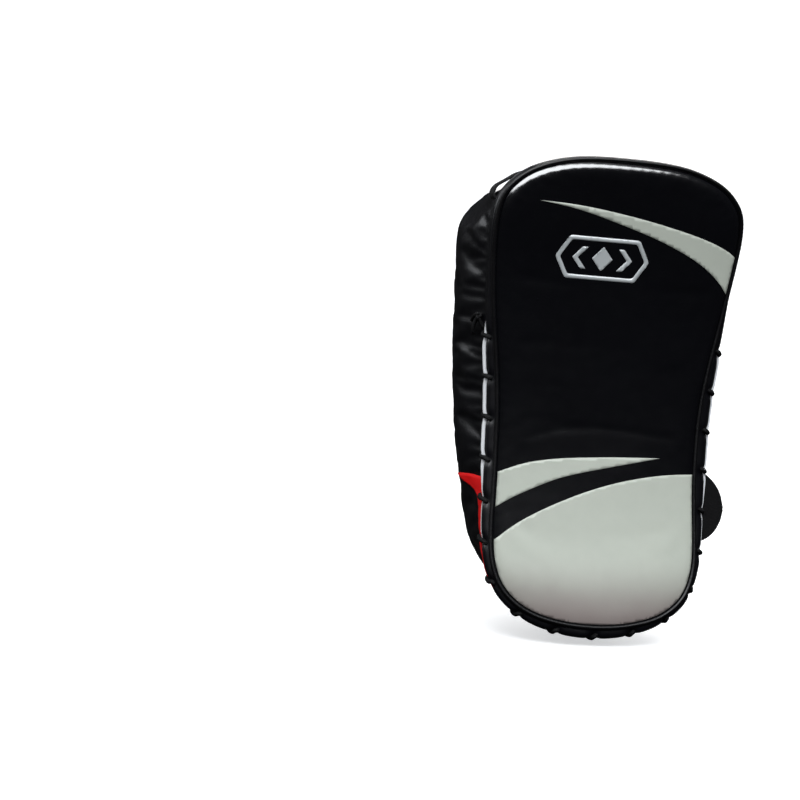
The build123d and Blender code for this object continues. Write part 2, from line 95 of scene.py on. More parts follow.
# right halves of the outlines, top to bottom: (z, half width)
FACE_HALF = [
    (206.8, 0), (206.5, 22), (205.4, 40), (202.8, 57), (197.6, 75), (189.8, 91), (180, 102.5),
    (169.5, 109.8), (158, 113), (146, 114), (130, 113.5), (110, 112), (88, 109.5), (66, 106.6),
    (44, 103.2), (22, 99.9), (0, 97.2), (-22, 95.6), (-50, 95.0), (-80, 95.2), (-110, 96.1),
    (-132, 96.4), (-146, 95.6), (-158, 93.0), (-169, 88.8), (-179, 82.0), (-187.5, 72.5),
    (-195, 59.5), (-200.4, 43), (-204, 23), (-205.2, 0)]
BODY_HALF = [
    (193, 0), (192, 32), (188.5, 60), (183, 80), (176, 95), (168.5, 108.5), (160, 118.5),
    (150, 124.4), (136, 126.2), (115, 125.4), (90, 123.4), (60, 121.4), (30, 119.0), (0, 116.2),
    (-30, 113.2), (-60, 109.8), (-85, 105.8), (-107, 101.2), (-128, 96.5), (-146, 91.0),
    (-162, 83.0), (-175, 72.0), (-185, 57.5), (-191, 40), (-194, 20), (-195, 0)]
# how far the laced hem stands outside the face outline: (z, width)
LACE_EDGE = [
    (-205.2, 7.8), (-204, 7.4), (-200.4, 6.4), (-195, 5.4), (-187.5, 4.7), (-172, 4.2),
    (-150, 4.4), (-120, 5.6), (-90, 7.0), (-60, 7.8), (-30, 8.0), (0, 7.4), (30, 6.2),
    (60, 4.4), (88, 2.8), (112, 1.6), (240, 1.6)]


# ---------------------------------------------------------------------------
# curves and outlines
# ---------------------------------------------------------------------------
def ease(start, end, value):
    """Smooth step from 0 at start to 1 at end."""
    s = np.clip((np.asarray(value, float) - start) / (end - start), 0, 1)
    return s * s * (3 - 2 * s)


def unit(vectors):
    return vectors / np.linalg.norm(vectors, axis=-1, keepdims=True)


def arc_length(points):
    """Running length at every point of an open path."""
    return np.concatenate([[0], np.cumsum(np.linalg.norm(np.diff(points, axis=0), axis=1))])


def closed(half):
    """Whole (x, z) outline from its right half, clockwise seen from the front."""
    right = [(width, z) for z, width in half]
    left = [(-width, z) for z, width in reversed(half[1:-1])]
    return np.array(right + left, float)


def cubic_piece(p0, p1, bend0, bend1, length, u):
    """Cubic between two spline points from their second derivatives."""
    v = length - u
    return (bend0 * v ** 3 / (6 * length) + bend1 * u ** 3 / (6 * length)
            + (p0 / length - bend0 * length / 6) * v + (p1 / length - bend1 * length / 6) * u)


def equal_steps(points, count, loop=True):
    path = np.vstack([points, points[:1]]) if loop else points
    length = arc_length(path)
    at = np.linspace(0, length[-1], count, endpoint=not loop)
    return np.stack([np.interp(at, length, path[:, k]) for k in range(path.shape[1])], 1)


def resample(points, count):
    """Periodic cubic spline through points, cut into equal steps."""
    n = len(points)
    h = np.linalg.norm(np.roll(points, -1, 0) - points, axis=1)
    system, right = np.zeros((n, n)), np.zeros((n, 2))
    for i in range(n):
        j = (i + 1) % n
        system[i, i - 1] += h[i - 1]
        system[i, i] += 2 * (h[i - 1] + h[i])
        system[i, j] += h[i]
        right[i] = 6 * ((points[j] - points[i]) / h[i] - (points[i] - points[i - 1]) / h[i - 1])
    bend = np.linalg.solve(system, right)
    dense = []
    for i in range(n):
        j = (i + 1) % n
        u = np.linspace(0, h[i], 48, endpoint=False)[:, None]
        dense.append(cubic_piece(points[i], points[j], bend[i], bend[j], h[i], u))
    return equal_steps(np.vstack(dense), count)


def open_spline(points, count):
    """Natural cubic spline through points, cut into equal steps."""
    points = np.asarray(points, float)
    if len(points) == 2:
        return points[0] + (points[1] - points[0]) * np.linspace(0, 1, count)[:, None]
    n = len(points)
    h = np.linalg.norm(np.diff(points, axis=0), axis=1)
    system, right = np.eye(n), np.zeros((n, points.shape[1]))
    for i in range(1, n - 1):
        system[i, i - 1:i + 2] = h[i - 1], 2 * (h[i - 1] + h[i]), h[i]
        right[i] = 6 * ((points[i + 1] - points[i]) / h[i]
                        - (points[i] - points[i - 1]) / h[i - 1])
    bend = np.linalg.solve(system, right)
    dense = []
    for i in range(n - 1):
        u = np.linspace(0, h[i], 40, endpoint=(i == n - 2))[:, None]
        dense.append(cubic_piece(points[i], points[i + 1], bend[i], bend[i + 1], h[i], u))
    return equal_steps(np.vstack(dense), count, loop=False)


def line(start, end, count):
    return open_spline([start, end], count)


def line_normals(path):
    """Normals of an open 2-D path, on the left of its direction."""
    tangent = unit(np.gradient(path, axis=0))
    return np.stack([-tangent[:, 1], tangent[:, 0]], 1)


def outward_normals(outline):
    tangent = unit(np.roll(outline, -1, 0) - np.roll(outline, 1, 0))
    return np.stack([-tangent[:, 1], tangent[:, 0]], 1)


def offset(outline, amount):
    """Outline moved outwards by one amount, or by one amount per point."""
    amount = np.broadcast_to(np.asarray(amount, float), (len(outline),))
    return outline + outward_normals(outline) * amount[:, None]


def lace_width(outline):
    x, z = outline[:, 0], outline[:, 1]
    width = np.interp(z, *zip(*LACE_EDGE))
    return width + (width - 1.6) * 0.32 * x / 95.0 * ease(-200, -140, z)


FACE_OUTLINE, BODY_OUTLINE = closed(FACE_HALF), closed(BODY_HALF)
FACE_COARSE = resample(FACE_OUTLINE, 576)
FACE_FINE = resample(FACE_OUTLINE, 1440)
FACE_LENGTH = np.linalg.norm(np.roll(FACE_COARSE, -1, 0) - FACE_COARSE, axis=1).sum()


def body_outline(depth, count):
    """Body outline at a depth: from the laced edge out to full size, then drawn in at the back."""
    face = resample(FACE_OUTLINE, count)
    body = resample(BODY_OUTLINE, count)
    front = offset(offset(face, lace_width(face)), -1.2)
    if depth < BODY_FULL:
        share = (depth - BODY_START) / (BODY_FULL - BODY_START)
        return front + (body - front) * math.sin(share * math.pi / 2) ** 1.1
    share = (depth - BODY_FULL) / (PAD_T - BODY_FULL)
    return offset(body, -9.5 * share ** 2.2)


def y_at(z, depth):
    radius = BEND_R + np.asarray(depth, float)
    return BEND_Y + np.sqrt(radius * radius - np.asarray(z, float) ** 2)


def on_bend(plan, depth):
    """(x, z) points laid on the bent surface at a depth."""
    return np.stack([plan[:, 0], y_at(plan[:, 1], depth), plan[:, 1]], 1)


def edge_gap(plan, outline, block=4000):
    """Distance of (x, z) points to the nearest outline point."""
    gap = np.empty(len(plan))
    for a in range(0, len(plan), block):
        away = plan[a:a + block, None, :] - outline[None]
        gap[a:a + block] = np.linalg.norm(away, axis=2).min(1)
    return gap


def inside(outline, plan):
    x, y = plan[:, 0], plan[:, 1]
    result = np.zeros(len(plan), bool)
    for i, (x0, y0) in enumerate(outline):
        x1, y1 = outline[(i + 1) % len(outline)]
        crosses = (y0 > y) != (y1 > y)
        rise = (y1 - y0) if y1 != y0 else 1e-12
        result ^= crosses & (x < (x1 - x0) * (y - y0) / rise + x0)
    return result


def noise1(along, period, seed, octaves=3):
    """Smooth noise that repeats after period, about -1..1."""
    random = np.random.default_rng(seed)
    total = np.zeros_like(np.asarray(along, float))
    for octave in range(octaves):
        waves = random.integers(2, 6) * 2 ** octave + random.integers(0, 3)
        total += np.sin(2 * np.pi * (waves * along / period + random.random())) / 1.6 ** octave
    return total / 1.8


def noise3(points, scale, seed, waves=10):
    """Smooth noise of 3-D points from a sum of plane waves, about -1..1."""
    random = np.random.default_rng(seed)
    total = np.zeros(len(points))
    for _ in range(waves):
        direction = random.normal(size=3)
        direction /= np.linalg.norm(direction)
        rate = 2 * np.pi / (scale * (0.6 + 0.9 * random.random()))
        total += np.sin(points @ direction * rate + random.random() * 6.28)
    return total / math.sqrt(waves)


# ---------------------------------------------------------------------------
# mesh helpers
# ---------------------------------------------------------------------------
def new_mesh(name, points, faces, mat, uvs=None):
    mesh = bpy.data.meshes.new(name)
    verts = [tuple(p) for p in np.asarray(points, float) * MM]
    mesh.from_pydata(verts, [], [tuple(int(i) for i in face) for face in faces])
    mesh.validate()
    if uvs is not None:
        layer = mesh.uv_layers.new(name="UVMap")
        corners = np.zeros(len(mesh.loops), np.int32)
        mesh.loops.foreach_get("vertex_index", corners)
        values = (np.asarray(uvs, float)[corners] * MM).astype(np.float32)
        layer.data.foreach_set("uv", values.ravel())
    mesh.polygons.foreach_set("use_smooth", [True] * len(mesh.polygons))
    mesh.update()
    obj = bpy.data.objects.new(name, mesh)
    bpy.context.scene.collection.objects.link(obj)
    mesh.materials.append(mat)
    return obj


def quads(rows, cols, close_rows=False, close_cols=False, flip=False):
    index = np.arange(rows * cols).reshape(rows, cols)
    faces = []
    for i in range(rows if close_rows else rows - 1):
        near, far = index[i], index[(i + 1) % rows]
        for j in range(cols if close_cols else cols - 1):
            k = (j + 1) % cols
            quad = (near[j], far[j], far[k], near[k])
            faces.append((quad[0], *quad[:0:-1]) if flip else quad)
    return faces


def grid(name, points, mat, close_rows=False, close_cols=False):
    """Quad mesh over points[i, j]; the UVs hold lengths along rows and columns in metres."""
    points = np.asarray(points, float)
    rows, cols = points.shape[:2]
    down = np.cumsum(np.linalg.norm(np.diff(points, axis=0), axis=2), 0)
    down = np.concatenate([np.zeros((1, cols)), down])
    across = np.cumsum(np.linalg.norm(np.diff(points, axis=1), axis=2), 1)
    across = np.concatenate([np.zeros((rows, 1)), across], 1)
    uvs = np.stack([down[:, cols // 2][:, None].repeat(cols, 1), across], 2).reshape(-1, 2)
    faces = quads(rows, cols, close_rows, close_cols)
    return new_mesh(name, points.reshape(-1, 3), faces, mat, uvs)


def carried_normals(path, loop):
    """Two normals carried smoothly along a 3-D path."""
    if loop:
        tangent = np.roll(path, -1, 0) - np.roll(path, 1, 0)
    else:
        tangent = np.gradient(path, axis=0)
    tangent = unit(tangent)
    helper = [0.0, 1.0, 0.0] if abs(tangent[0][1]) < 0.9 else [1.0, 0, 0]
    first = [unit(np.cross(tangent[0], np.array(helper)))]
    for i in range(1, len(path)):
        first.append(unit(first[-1] - tangent[i] * (first[-1] @ tangent[i])))
    first = np.array(first)
    return first, np.cross(tangent, first)


def tube(name, path, radius, sides, mat, loop=False):
    """Round tube along a path, with rounded ends unless it is a loop."""
    path = np.asarray(path, float)
    radius = np.broadcast_to(np.asarray(radius, float), (len(path),)).copy()
    if not loop:
        start, end = unit(path[0] - path[1]), unit(path[-1] - path[-2])
        cap = [(1.0, 0.02), (0.87, 0.5), (0.5, 0.87)]   # (reach, radius), from the tip inwards
        path = np.vstack([[path[0] + start * radius[0] * reach for reach, _ in cap], path,
                          [path[-1] + end * radius[-1] * reach for reach, _ in reversed(cap)]])
        radius = np.concatenate([[radius[0] * r for _, r in cap], radius,
                                 [radius[-1] * r for _, r in reversed(cap)]])
    first, second = (n[:, None, :] for n in carried_normals(path, loop))
    angle = np.linspace(0, 2 * np.pi, sides, endpoint=False)
    turn = angle[None, :, None]
    skin = path[:, None, :] + radius[:, None, None] * (np.cos(turn) * first
                                                       + np.sin(turn) * second)
    count = len(path)
    uvs = np.stack([arc_length(path)[:, None].repeat(sides, 1),
                    (angle * radius.max())[None].repeat(count, 0)], 2)
    faces = quads(count, sides, close_rows=loop, close_cols=True)
    if not loop:
        faces.append(tuple(reversed(range(sides))))
        faces.append(tuple(range((count - 1) * sides, count * sides)))
    return new_mesh(name, skin.reshape(-1, 3), faces, mat, uvs.reshape(-1, 2))


def apply_modifiers(obj):
    graph = bpy.context.evaluated_depsgraph_get()
    graph.update()
    mesh = bpy.data.meshes.new_from_object(obj.evaluated_get(graph),
                                           preserve_all_data_layers=True, depsgraph=graph)
    old = obj.data
    obj.modifiers.clear()
    obj.data = mesh
    bpy.data.meshes.remove(old)


def subdivide(obj):
    modifier = obj.modifiers.new("Subdivision", "SUBSURF")
    modifier.levels = modifier.render_levels = 1
    apply_modifiers(obj)


def solidify(obj, thickness, side=-1.0, even=True):
    """Give a sheet thickness; side -1 grows it against the normals, 0 both ways."""
    modifier = obj.modifiers.new("Solidify", "SOLIDIFY")
    modifier.thickness, modifier.offset = thickness * MM, side
    modifier.use_even_offset = even
    apply_modifiers(obj)


def join(name, objs):
    bpy.ops.object.select_all(action="DESELECT")
    for obj in objs:
        obj.select_set(True)
    bpy.context.view_layer.objects.active = objs[0]
    bpy.ops.object.join()
    objs[0].name = objs[0].data.name = name
    return objs[0]


def fix_normals(obj, merge=0.0):
    """Make the normals agree, after merging vertices closer than merge."""
    mesh = bmesh.new()
    mesh.from_mesh(obj.data)
    if merge:
        bmesh.ops.remove_doubles(mesh, verts=mesh.verts, dist=merge * MM)
    bmesh.ops.recalc_face_normals(mesh, faces=mesh.faces)
    mesh.to_mesh(obj.data)
    mesh.free()


def turn_to(obj, polygon, direction):
    """Flip the whole mesh if one polygon faces away from direction."""
    if polygon.normal.dot(Vector(direction)) < 0:
        obj.data.flip_normals()


def middle_polygon(obj):
    return obj.data.polygons[len(obj.data.polygons) // 2]


def ring_mesh(name, points, cols, mat, merge, flip=False):
    """Mesh of closed rings of cols points that shrink to a line, merged along that line."""
    faces = quads(len(points) // cols, cols, close_cols=True, flip=flip)
    obj = new_mesh(name, points, faces, mat)
    fix_normals(obj, merge)
    return obj


def read_points(mesh):
    flat = np.zeros(len(mesh.vertices) * 3)
    mesh.vertices.foreach_get("co", flat)
    return flat.reshape(-1, 3) / MM


def write_points(obj, points):
    obj.data.vertices.foreach_set("co", (np.asarray(points) * MM).astype(np.float32).ravel())
    obj.data.update()


def ray_tree(obj):
    mesh = obj.data
    return BVHTree.FromPolygons([v.co.copy() for v in mesh.vertices],
                                [tuple(p.vertices) for p in mesh.polygons])


def cast(tree, origin, direction):
    hit = tree.ray_cast(Vector([c * MM for c in origin]), Vector(direction))[0]
    return None if hit is None else np.array(hit) / MM


def inflate(obj, pin, pressure, cap, stiff, grow=0.0, last_frame=20):
    """Cloth under pressure with pinned seams; the swelling is limited to cap."""
    rest = read_points(obj.data)
    group = obj.vertex_groups.new(name="pin")
    pin = np.round(np.asarray(pin, float), 2)
    for weight in np.unique(pin):
        if weight > 0:
            group.add([int(i) for i in np.nonzero(pin == weight)[0]], float(weight), "REPLACE")
    cloth = obj.modifiers.new("Cloth", "CLOTH")
    settings = cloth.settings
    settings.quality = 6
    settings.mass = 0.3
    settings.tension_stiffness = stiff
    settings.compression_stiffness = stiff
    settings.shear_stiffness = stiff
    settings.bending_stiffness = 0.8
    settings.use_pressure = True
    settings.uniform_pressure_force = pressure
    settings.vertex_group_mass = "pin"
    settings.effector_weights.gravity = 0
    settings.shrink_min = settings.shrink_max = -grow
    cloth.collision_settings.use_collision = False
    cloth.point_cache.frame_start, cloth.point_cache.frame_end = 1, last_frame
    scene = bpy.context.scene
    for number in range(1, last_frame + 1):
        scene.frame_set(number)
    swollen = obj.evaluated_get(bpy.context.evaluated_depsgraph_get())
    moved = read_points(swollen.to_mesh()) - rest
    swollen.to_mesh_clear()
    obj.modifiers.clear()
    obj.vertex_groups.clear()
    scene.frame_set(1)
    length = np.linalg.norm(moved, axis=1)
    finite = np.isfinite(length)
    moved[~finite] = 0
    length = np.where(finite, length, 0)
    limit = np.where(length > 1e-9,
                     cap * np.tanh(length / cap) / np.maximum(length, 1e-9), 1.0)
    write_points(obj, rest + moved * limit[:, None])


def stand_in(obj, slot, *nodes, body="root"):
    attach(obj, body)
    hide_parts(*nodes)


# ---------------------------------------------------------------------------
# shader helpers
# ---------------------------------------------------------------------------
def srgb(*channels):
    def linear(c):
        return (c / 255 / 12.92) if c / 255 <= 0.04045 else ((c / 255 + 0.055) / 1.055) ** 2.4
    return (*(linear(c) for c in channels), 1.0)


def brighter(color, factor, add=0.0):
    return tuple(min(1, c * factor + add) for c in color[:3]) + (1,)


class Nodes:
    """Short ways to add nodes to a shader tree; inputs may be values or sockets."""

    def __init__(self, tree):
        self.tree = tree
        self.texture = self.node("ShaderNodeTexCoord").outputs

    def node(self, kind):
        return self.tree.nodes.new(kind)

    def feed(self, socket, value):
        if hasattr(value, "is_output"):
            self.tree.links.new(value, socket)
        else:
            socket.default_value = value

    def made(self, kind, inputs, output=0, **settings):
        """Add a node with settings and inputs and return one of its outputs."""
        node = self.node(kind)
        for key, value in settings.items():
            setattr(node, key, value)
        for key, value in inputs.items():
            self.feed(node.inputs[key], value)
        return node.outputs[output]

    def coord(self, scale=(1, 1, 1)):
        return self.made("ShaderNodeMapping", {"Scale": scale, "Vector": self.texture["Object"]})

    def xyz(self, vector):
        node = self.node("ShaderNodeSeparateXYZ")
        self.feed(node.inputs[0], vector)
        return node.outputs

    def noise(self, vector, scale, detail=4.0, rough=0.55):
        return self.made("ShaderNodeTexNoise", {"Scale": scale, "Detail": detail,
                                                "Roughness": rough, "Vector": vector}, "Fac")

    def voronoi(self, vector, scale, feature="F1"):
        return self.made("ShaderNodeTexVoronoi", {"Scale": scale, "Vector": vector},
                         "Distance", feature=feature)

    def mix(self, share, a, b):
        return self.made("ShaderNodeMix", {0: share, 6: a, 7: b}, 2, data_type="RGBA")

    def mix_values(self, share, a, b):
        return self.made("ShaderNodeMix", {0: share, 2: a, 3: b}, data_type="FLOAT")

    def maths(self, operation, a, b=0.0):
        return self.made("ShaderNodeMath", {0: a, 1: b}, operation=operation)

    def add(self, a, b):
        return self.maths("ADD", a, b)

    def times(self, a, b):
        return self.maths("MULTIPLY", a, b)

    def ridges(self, wave):
        return self.maths("ABSOLUTE", self.maths("SINE", wave))

    def span(self, value, low, high, start=0.0, end=1.0, kind="LINEAR"):
        """Map start..end to low..high."""
        inputs = {"From Min": start, "From Max": end, "To Min": low, "To Max": high,
                  "Value": value}
        return self.made("ShaderNodeMapRange", inputs, "Result", interpolation_type=kind)

    def bump(self, height, depth, strength, normal=None):
        """Bump with its depth in millimetres, over an earlier normal if one is given."""
        inputs = {"Strength": strength, "Distance": depth * MM, "Height": height}
        if normal is not None:
            inputs["Normal"] = normal
        return self.made("ShaderNodeBump", inputs, "Normal")


class Material(Nodes):
    def __init__(self, name):
        self.material = bpy.data.materials.new(name)
        self.material.use_nodes = True
        super().__init__(self.material.node_tree)

    def finish(self, color, roughness, normal=None, **inputs):
        """Feed the Principled node; input names have _ for spaces."""
        sockets = self.tree.nodes["Principled BSDF"].inputs
        self.feed(sockets["Base Color"], color)
        self.feed(sockets["Roughness"], roughness)
        if normal is not None:
            self.feed(sockets["Normal"], normal)
        for key, value in inputs.items():
            self.feed(sockets[key.replace("_", " ")], value)
        return self.material


# ---------------------------------------------------------------------------
# materials
# ---------------------------------------------------------------------------
def leather(name, base, dark, rough, grain, coat, specular=0.5, wear=None, wear_amount=0.0,
            low_painted_shade=None):
    """Grained synthetic leather: pebbles, pores, soft mottling, wear on its edges and, if asked
    for, a band of painted shade towards the lower end.
    """
    m = Material(name)
    place = m.coord()
    broad = m.noise(place, 14, detail=3)
    mottle = m.noise(place, 90)
    color = m.mix(m.span(broad, 0.0, 1.0), dark, base)
    color = m.mix(m.times(mottle, 0.22), color, brighter(base, 1.25))
    if wear is not None:
        pointed = m.node("ShaderNodeNewGeometry").outputs["Pointiness"]
        amount = m.times(m.span(pointed, 0.0, 1.0, start=0.53, end=0.62), wear_amount)
        amount = m.times(amount, m.noise(place, 160, detail=3))
        color = m.mix(amount, color, wear)
    if low_painted_shade is not None:
        # painted shade and reflection: a loose, uneven darker, pinkish band towards the lower end
        # of the shield, where the lower edge rolls away from the light
        z = m.xyz(m.texture["Object"])[2]
        wander = m.times(m.maths("SUBTRACT", m.noise(place, 9, detail=3), 0.5), 0.030)
        band = m.span(m.add(z, wander), 0.0, 0.85, start=-0.135, end=-0.203, kind="SMOOTHSTEP")
        color = m.mix(band, color, low_painted_shade)
    pebbles = m.voronoi(place, 900)
    cells = m.voronoi(place, 620, "DISTANCE_TO_EDGE")
    pores = m.noise(place, 2400, detail=3)
    height = m.add(m.times(cells, 1.6), m.times(pores, 0.35))
    height = m.maths("SUBTRACT", height, m.times(pebbles, 0.4))
    normal = m.bump(height, grain, strength=0.55)
    normal = m.bump(m.noise(place, 55, detail=2), 0.35, strength=0.35, normal=normal)
    roughness = m.add(m.span(mottle, *rough), m.times(cells, -0.03))
    return m.finish(color, roughness, normal, Specular_IOR_Level=specular,
                    Coat_Weight=coat, Coat_Roughness=0.22)


def woven(name, base, dark, pitch, rough=0.78, depth=0.28):
    """Interlaced ribs; pitch is (along, across) the strap in millimetres."""
    m = Material(name)
    uv = m.xyz(m.texture["UV"])
    along = m.times(uv[0], 2 * math.pi / (pitch[0] * MM * 2))
    across = m.times(uv[1], 2 * math.pi / (pitch[1] * MM * 2))
    checker = m.times(m.maths("SINE", along), m.maths("SINE", across))
    across_ribs, along_ribs = m.ridges(across), m.ridges(along)
    ribs = m.mix_values(m.maths("GREATER_THAN", checker, 0.0), across_ribs, along_ribs)
    place = m.coord()
    fuzz = m.noise(place, 1800, detail=3)
    color = m.mix(m.times(ribs, 0.8), dark, base)
    patches = m.times(m.noise(place, 40, detail=3), 0.5)
    color = m.mix(patches, color, brighter(base, 1.7, add=0.004))
    normal = m.bump(fuzz, 0.12, strength=0.5, normal=m.bump(ribs, depth, strength=0.8))
    return m.finish(color, m.span(fuzz, rough - 0.08, rough + 0.1), normal,
                    Sheen_Weight=0.02, Sheen_Roughness=0.5, Specular_IOR_Level=0.08)


def pile(name, base, dark, scale, depth):
    """Matt fuzz for the hook and loop strips."""
    m = Material(name)
    place = m.coord()
    fuzz = m.noise(place, scale, detail=5, rough=0.7)
    tufts = m.voronoi(place, scale * 0.7)
    height = m.add(fuzz, m.times(tufts, 0.6))
    return m.finish(m.mix(fuzz, dark, base), 0.95, m.bump(height, depth, strength=0.9),
                    Sheen_Weight=0.03, Specular_IOR_Level=0.03)


def metal(name, base, rough):
    """Plated metal with fine streaks."""
    m = Material(name)
    tone = m.noise(m.coord(), 120)
    streaks = m.noise(m.coord(scale=(1, 1, 18)), 260, detail=3)
    return m.finish(m.mix(tone, base, brighter(base, 0.78)), m.span(streaks, *rough),
                    m.bump(streaks, 0.02, strength=0.4), Metallic=1.0)


def cord(name, base, dark):
    """Braided cord: two crossing helical ridges in the cord's own coordinates."""
    m = Material(name)
    uv = m.xyz(m.texture["UV"])
    along = m.times(uv[0], 2 * math.pi / (2.4 * MM))
    around = m.times(uv[1], 4 / (2.25 * MM))
    braid = m.maths("MAXIMUM", m.ridges(m.add(along, around)),
                    m.ridges(m.maths("SUBTRACT", along, around)))
    fuzz = m.noise(m.coord(), 2200, detail=3)
    normal = m.bump(fuzz, 0.08, strength=0.5, normal=m.bump(braid, 0.35, strength=0.8))
    return m.finish(m.mix(braid, dark, base), m.span(fuzz, 0.6, 0.85), normal,
                    Specular_IOR_Level=0.08)


def foam(name, base, dark):
    m = Material(name)
    place = m.coord()
    cells = m.voronoi(place, 420)
    tone = m.noise(place, 60)
    return m.finish(m.mix(tone, dark, base), 0.9, m.bump(cells, 0.3, strength=0.7))


BLACK = leather("black_face_leather", srgb(6, 7, 11), srgb(3, 3, 6), rough=(0.15, 0.23),
                grain=0.04, coat=0.25, wear=srgb(40, 40, 44), wear_amount=0.2)
GUSSET = leather("black_side_leather", srgb(9, 9, 14), srgb(5, 5, 9), rough=(0.30, 0.42),
                 grain=0.06, coat=0.08, specular=0.22, wear=srgb(36, 36, 42), wear_amount=0.2)
PIPING = leather("black_piping_leather", srgb(6, 6, 9), srgb(4, 4, 5), rough=(0.34, 0.46),
                 grain=0.03, coat=0.0, specular=0.14, wear=srgb(40, 40, 44), wear_amount=0.2)
# the pale leather's last colour is painted shade with a pinkish painted reflection for the
# shield's lower end
PALE = leather("pale_panel_leather", srgb(184, 190, 180), srgb(174, 181, 172),
               rough=(0.36, 0.5), grain=0.04, coat=0.0, specular=0.14,
               wear=srgb(150, 152, 146), wear_amount=0.25, low_painted_shade=srgb(128, 114, 114))
RED = leather("red_panel_leather", srgb(252, 4, 8), srgb(232, 2, 5), rough=(0.4, 0.55),
              grain=0.03, coat=0.0, specular=0.12, wear=srgb(150, 20, 20), wear_amount=0.2)
PRINT = leather("badge_print_film", srgb(178, 184, 186), srgb(166, 172, 175),
                rough=(0.34, 0.46), grain=0.02, coat=0.2)
EDGING = woven("pale_edge_fabric", srgb(236, 240, 244), srgb(206, 212, 220), pitch=(0.9, 0.9),
               rough=0.85, depth=0.2)
WEB = woven("black_webbing", srgb(11, 11, 13), srgb(4, 4, 5), pitch=(1.2, 1.8))
LOOP = pile("loop_pile", srgb(10, 10, 12), srgb(4, 4, 5), scale=900, depth=0.8)
HOOK = pile("hook_pile", srgb(10, 10, 12), srgb(4, 4, 5), scale=1500, depth=0.5)
CORD = cord("black_lace_cord", srgb(6, 6, 8), srgb(3, 3, 4))
CHROME = metal("plated_steel", (0.72, 0.72, 0.74, 1), rough=(0.12, 0.28))
FOAM = foam("closed_cell_foam", srgb(92, 92, 96), srgb(70, 70, 74))
THREAD = woven("black_thread", srgb(40, 40, 46), srgb(18, 18, 22), pitch=(0.4, 0.3),
               rough=0.6, depth=0.05)


# ---------------------------------------------------------------------------
# face cushion
# ---------------------------------------------------------------------------
FACE_SEAM = 2.6                 # the cushion starts this far inside the face outline


def face_cushion():
    """Swollen front skin; returns the ray tree of its outside."""
    cols = 288
    rim = resample(FACE_OUTLINE, cols)
    seam = offset(rim, -FACE_SEAM)
    spine = np.stack([np.zeros(cols), rim[:, 1] * 0.60], 1)
    # rings from the seam (0) to the middle line (1), closer together at the rim
    shares = np.concatenate([[0.0, 0.010, 0.022, 0.036, 0.052, 0.070, 0.09, 0.115, 0.145],
                             np.linspace(0.18, 1.0, 22)])
    plan = np.vstack([seam + (spine - seam) * share for share in shares])
    gap = edge_gap(plan, FACE_FINE)
    low, top = ease(-118, -188, plan[:, 1]), ease(90, 165, plan[:, 1])
    # rolled edge, softer and taller at the lower end and a plain arc at the top
    swell = 5.2 + 2.0 * low
    roll = 4.2 + 7.8 * low
    arc_gap = np.clip(gap - FACE_SEAM, 0, 11.0)
    arc = 1.36 * arc_gap - 0.0618 * arc_gap ** 2
    depth = (1.7 - (1 - top) * swell * (1 - np.exp(-np.maximum(gap - FACE_SEAM, 0) / roll))
             - top * arc - 0.9 * ease(14, 70, gap))
    flat = np.column_stack([plan, np.zeros(len(plan))])
    depth += 0.28 * noise3(flat, 95, 3) * ease(6, 40, gap)
    # short gathers that run in from the seam
    along = np.tile(np.arange(cols), len(shares)) / cols * FACE_LENGTH
    gathers = (noise1(along, FACE_LENGTH, 11, octaves=1) * 0.12
               + np.sin(along / 10.5 * 2 * np.pi + 2.5 * np.sin(along / 61.0)) * 0.17)
    depth = depth + gathers * np.exp(-np.abs(gap - 7) / 5.0) * ease(FACE_SEAM, 5, gap)
    face = ring_mesh("face_cushion", on_bend(plan, depth), cols, BLACK, merge=0.35, flip=True)
    points = read_points(face.data)
    turn_to(face, face.data.polygons[0], (0, -1, 0))
    gap = edge_gap(points[:, [0, 2]], FACE_FINE)
    inflate(face, np.clip(1 - (gap - 3.5) / 7.0, 0, 1), pressure=1.2, cap=0.8, stiff=25)
    subdivide(face)
    tree = ray_tree(face)
    solidify(face, 1.2, even=False)
    stand_in(face, "black_leather", "strike_face_panel", "strike_foam_sheet")
    return tree


FACE_TREE = face_cushion()


def face_y(x, z):
    hit = cast(FACE_TREE, (x, -500, z), (0, 1, 0))
    # a ray may slip past the cushion's edge; the plain bend stands in for it there
    return float(y_at(z, 0)) if hit is None else hit[1]


# ---------------------------------------------------------------------------
# panels and badge on the face
# ---------------------------------------------------------------------------
def loop_of(curves, step=2.0):
    """One closed loop from open curves that meet end to end."""
    points = []
    for curve in curves:
        length = arc_length(np.asarray(curve, float))[-1]
        points.append(open_spline(curve, max(3, int(length / step)))[:-1])
    return np.vstack(points)


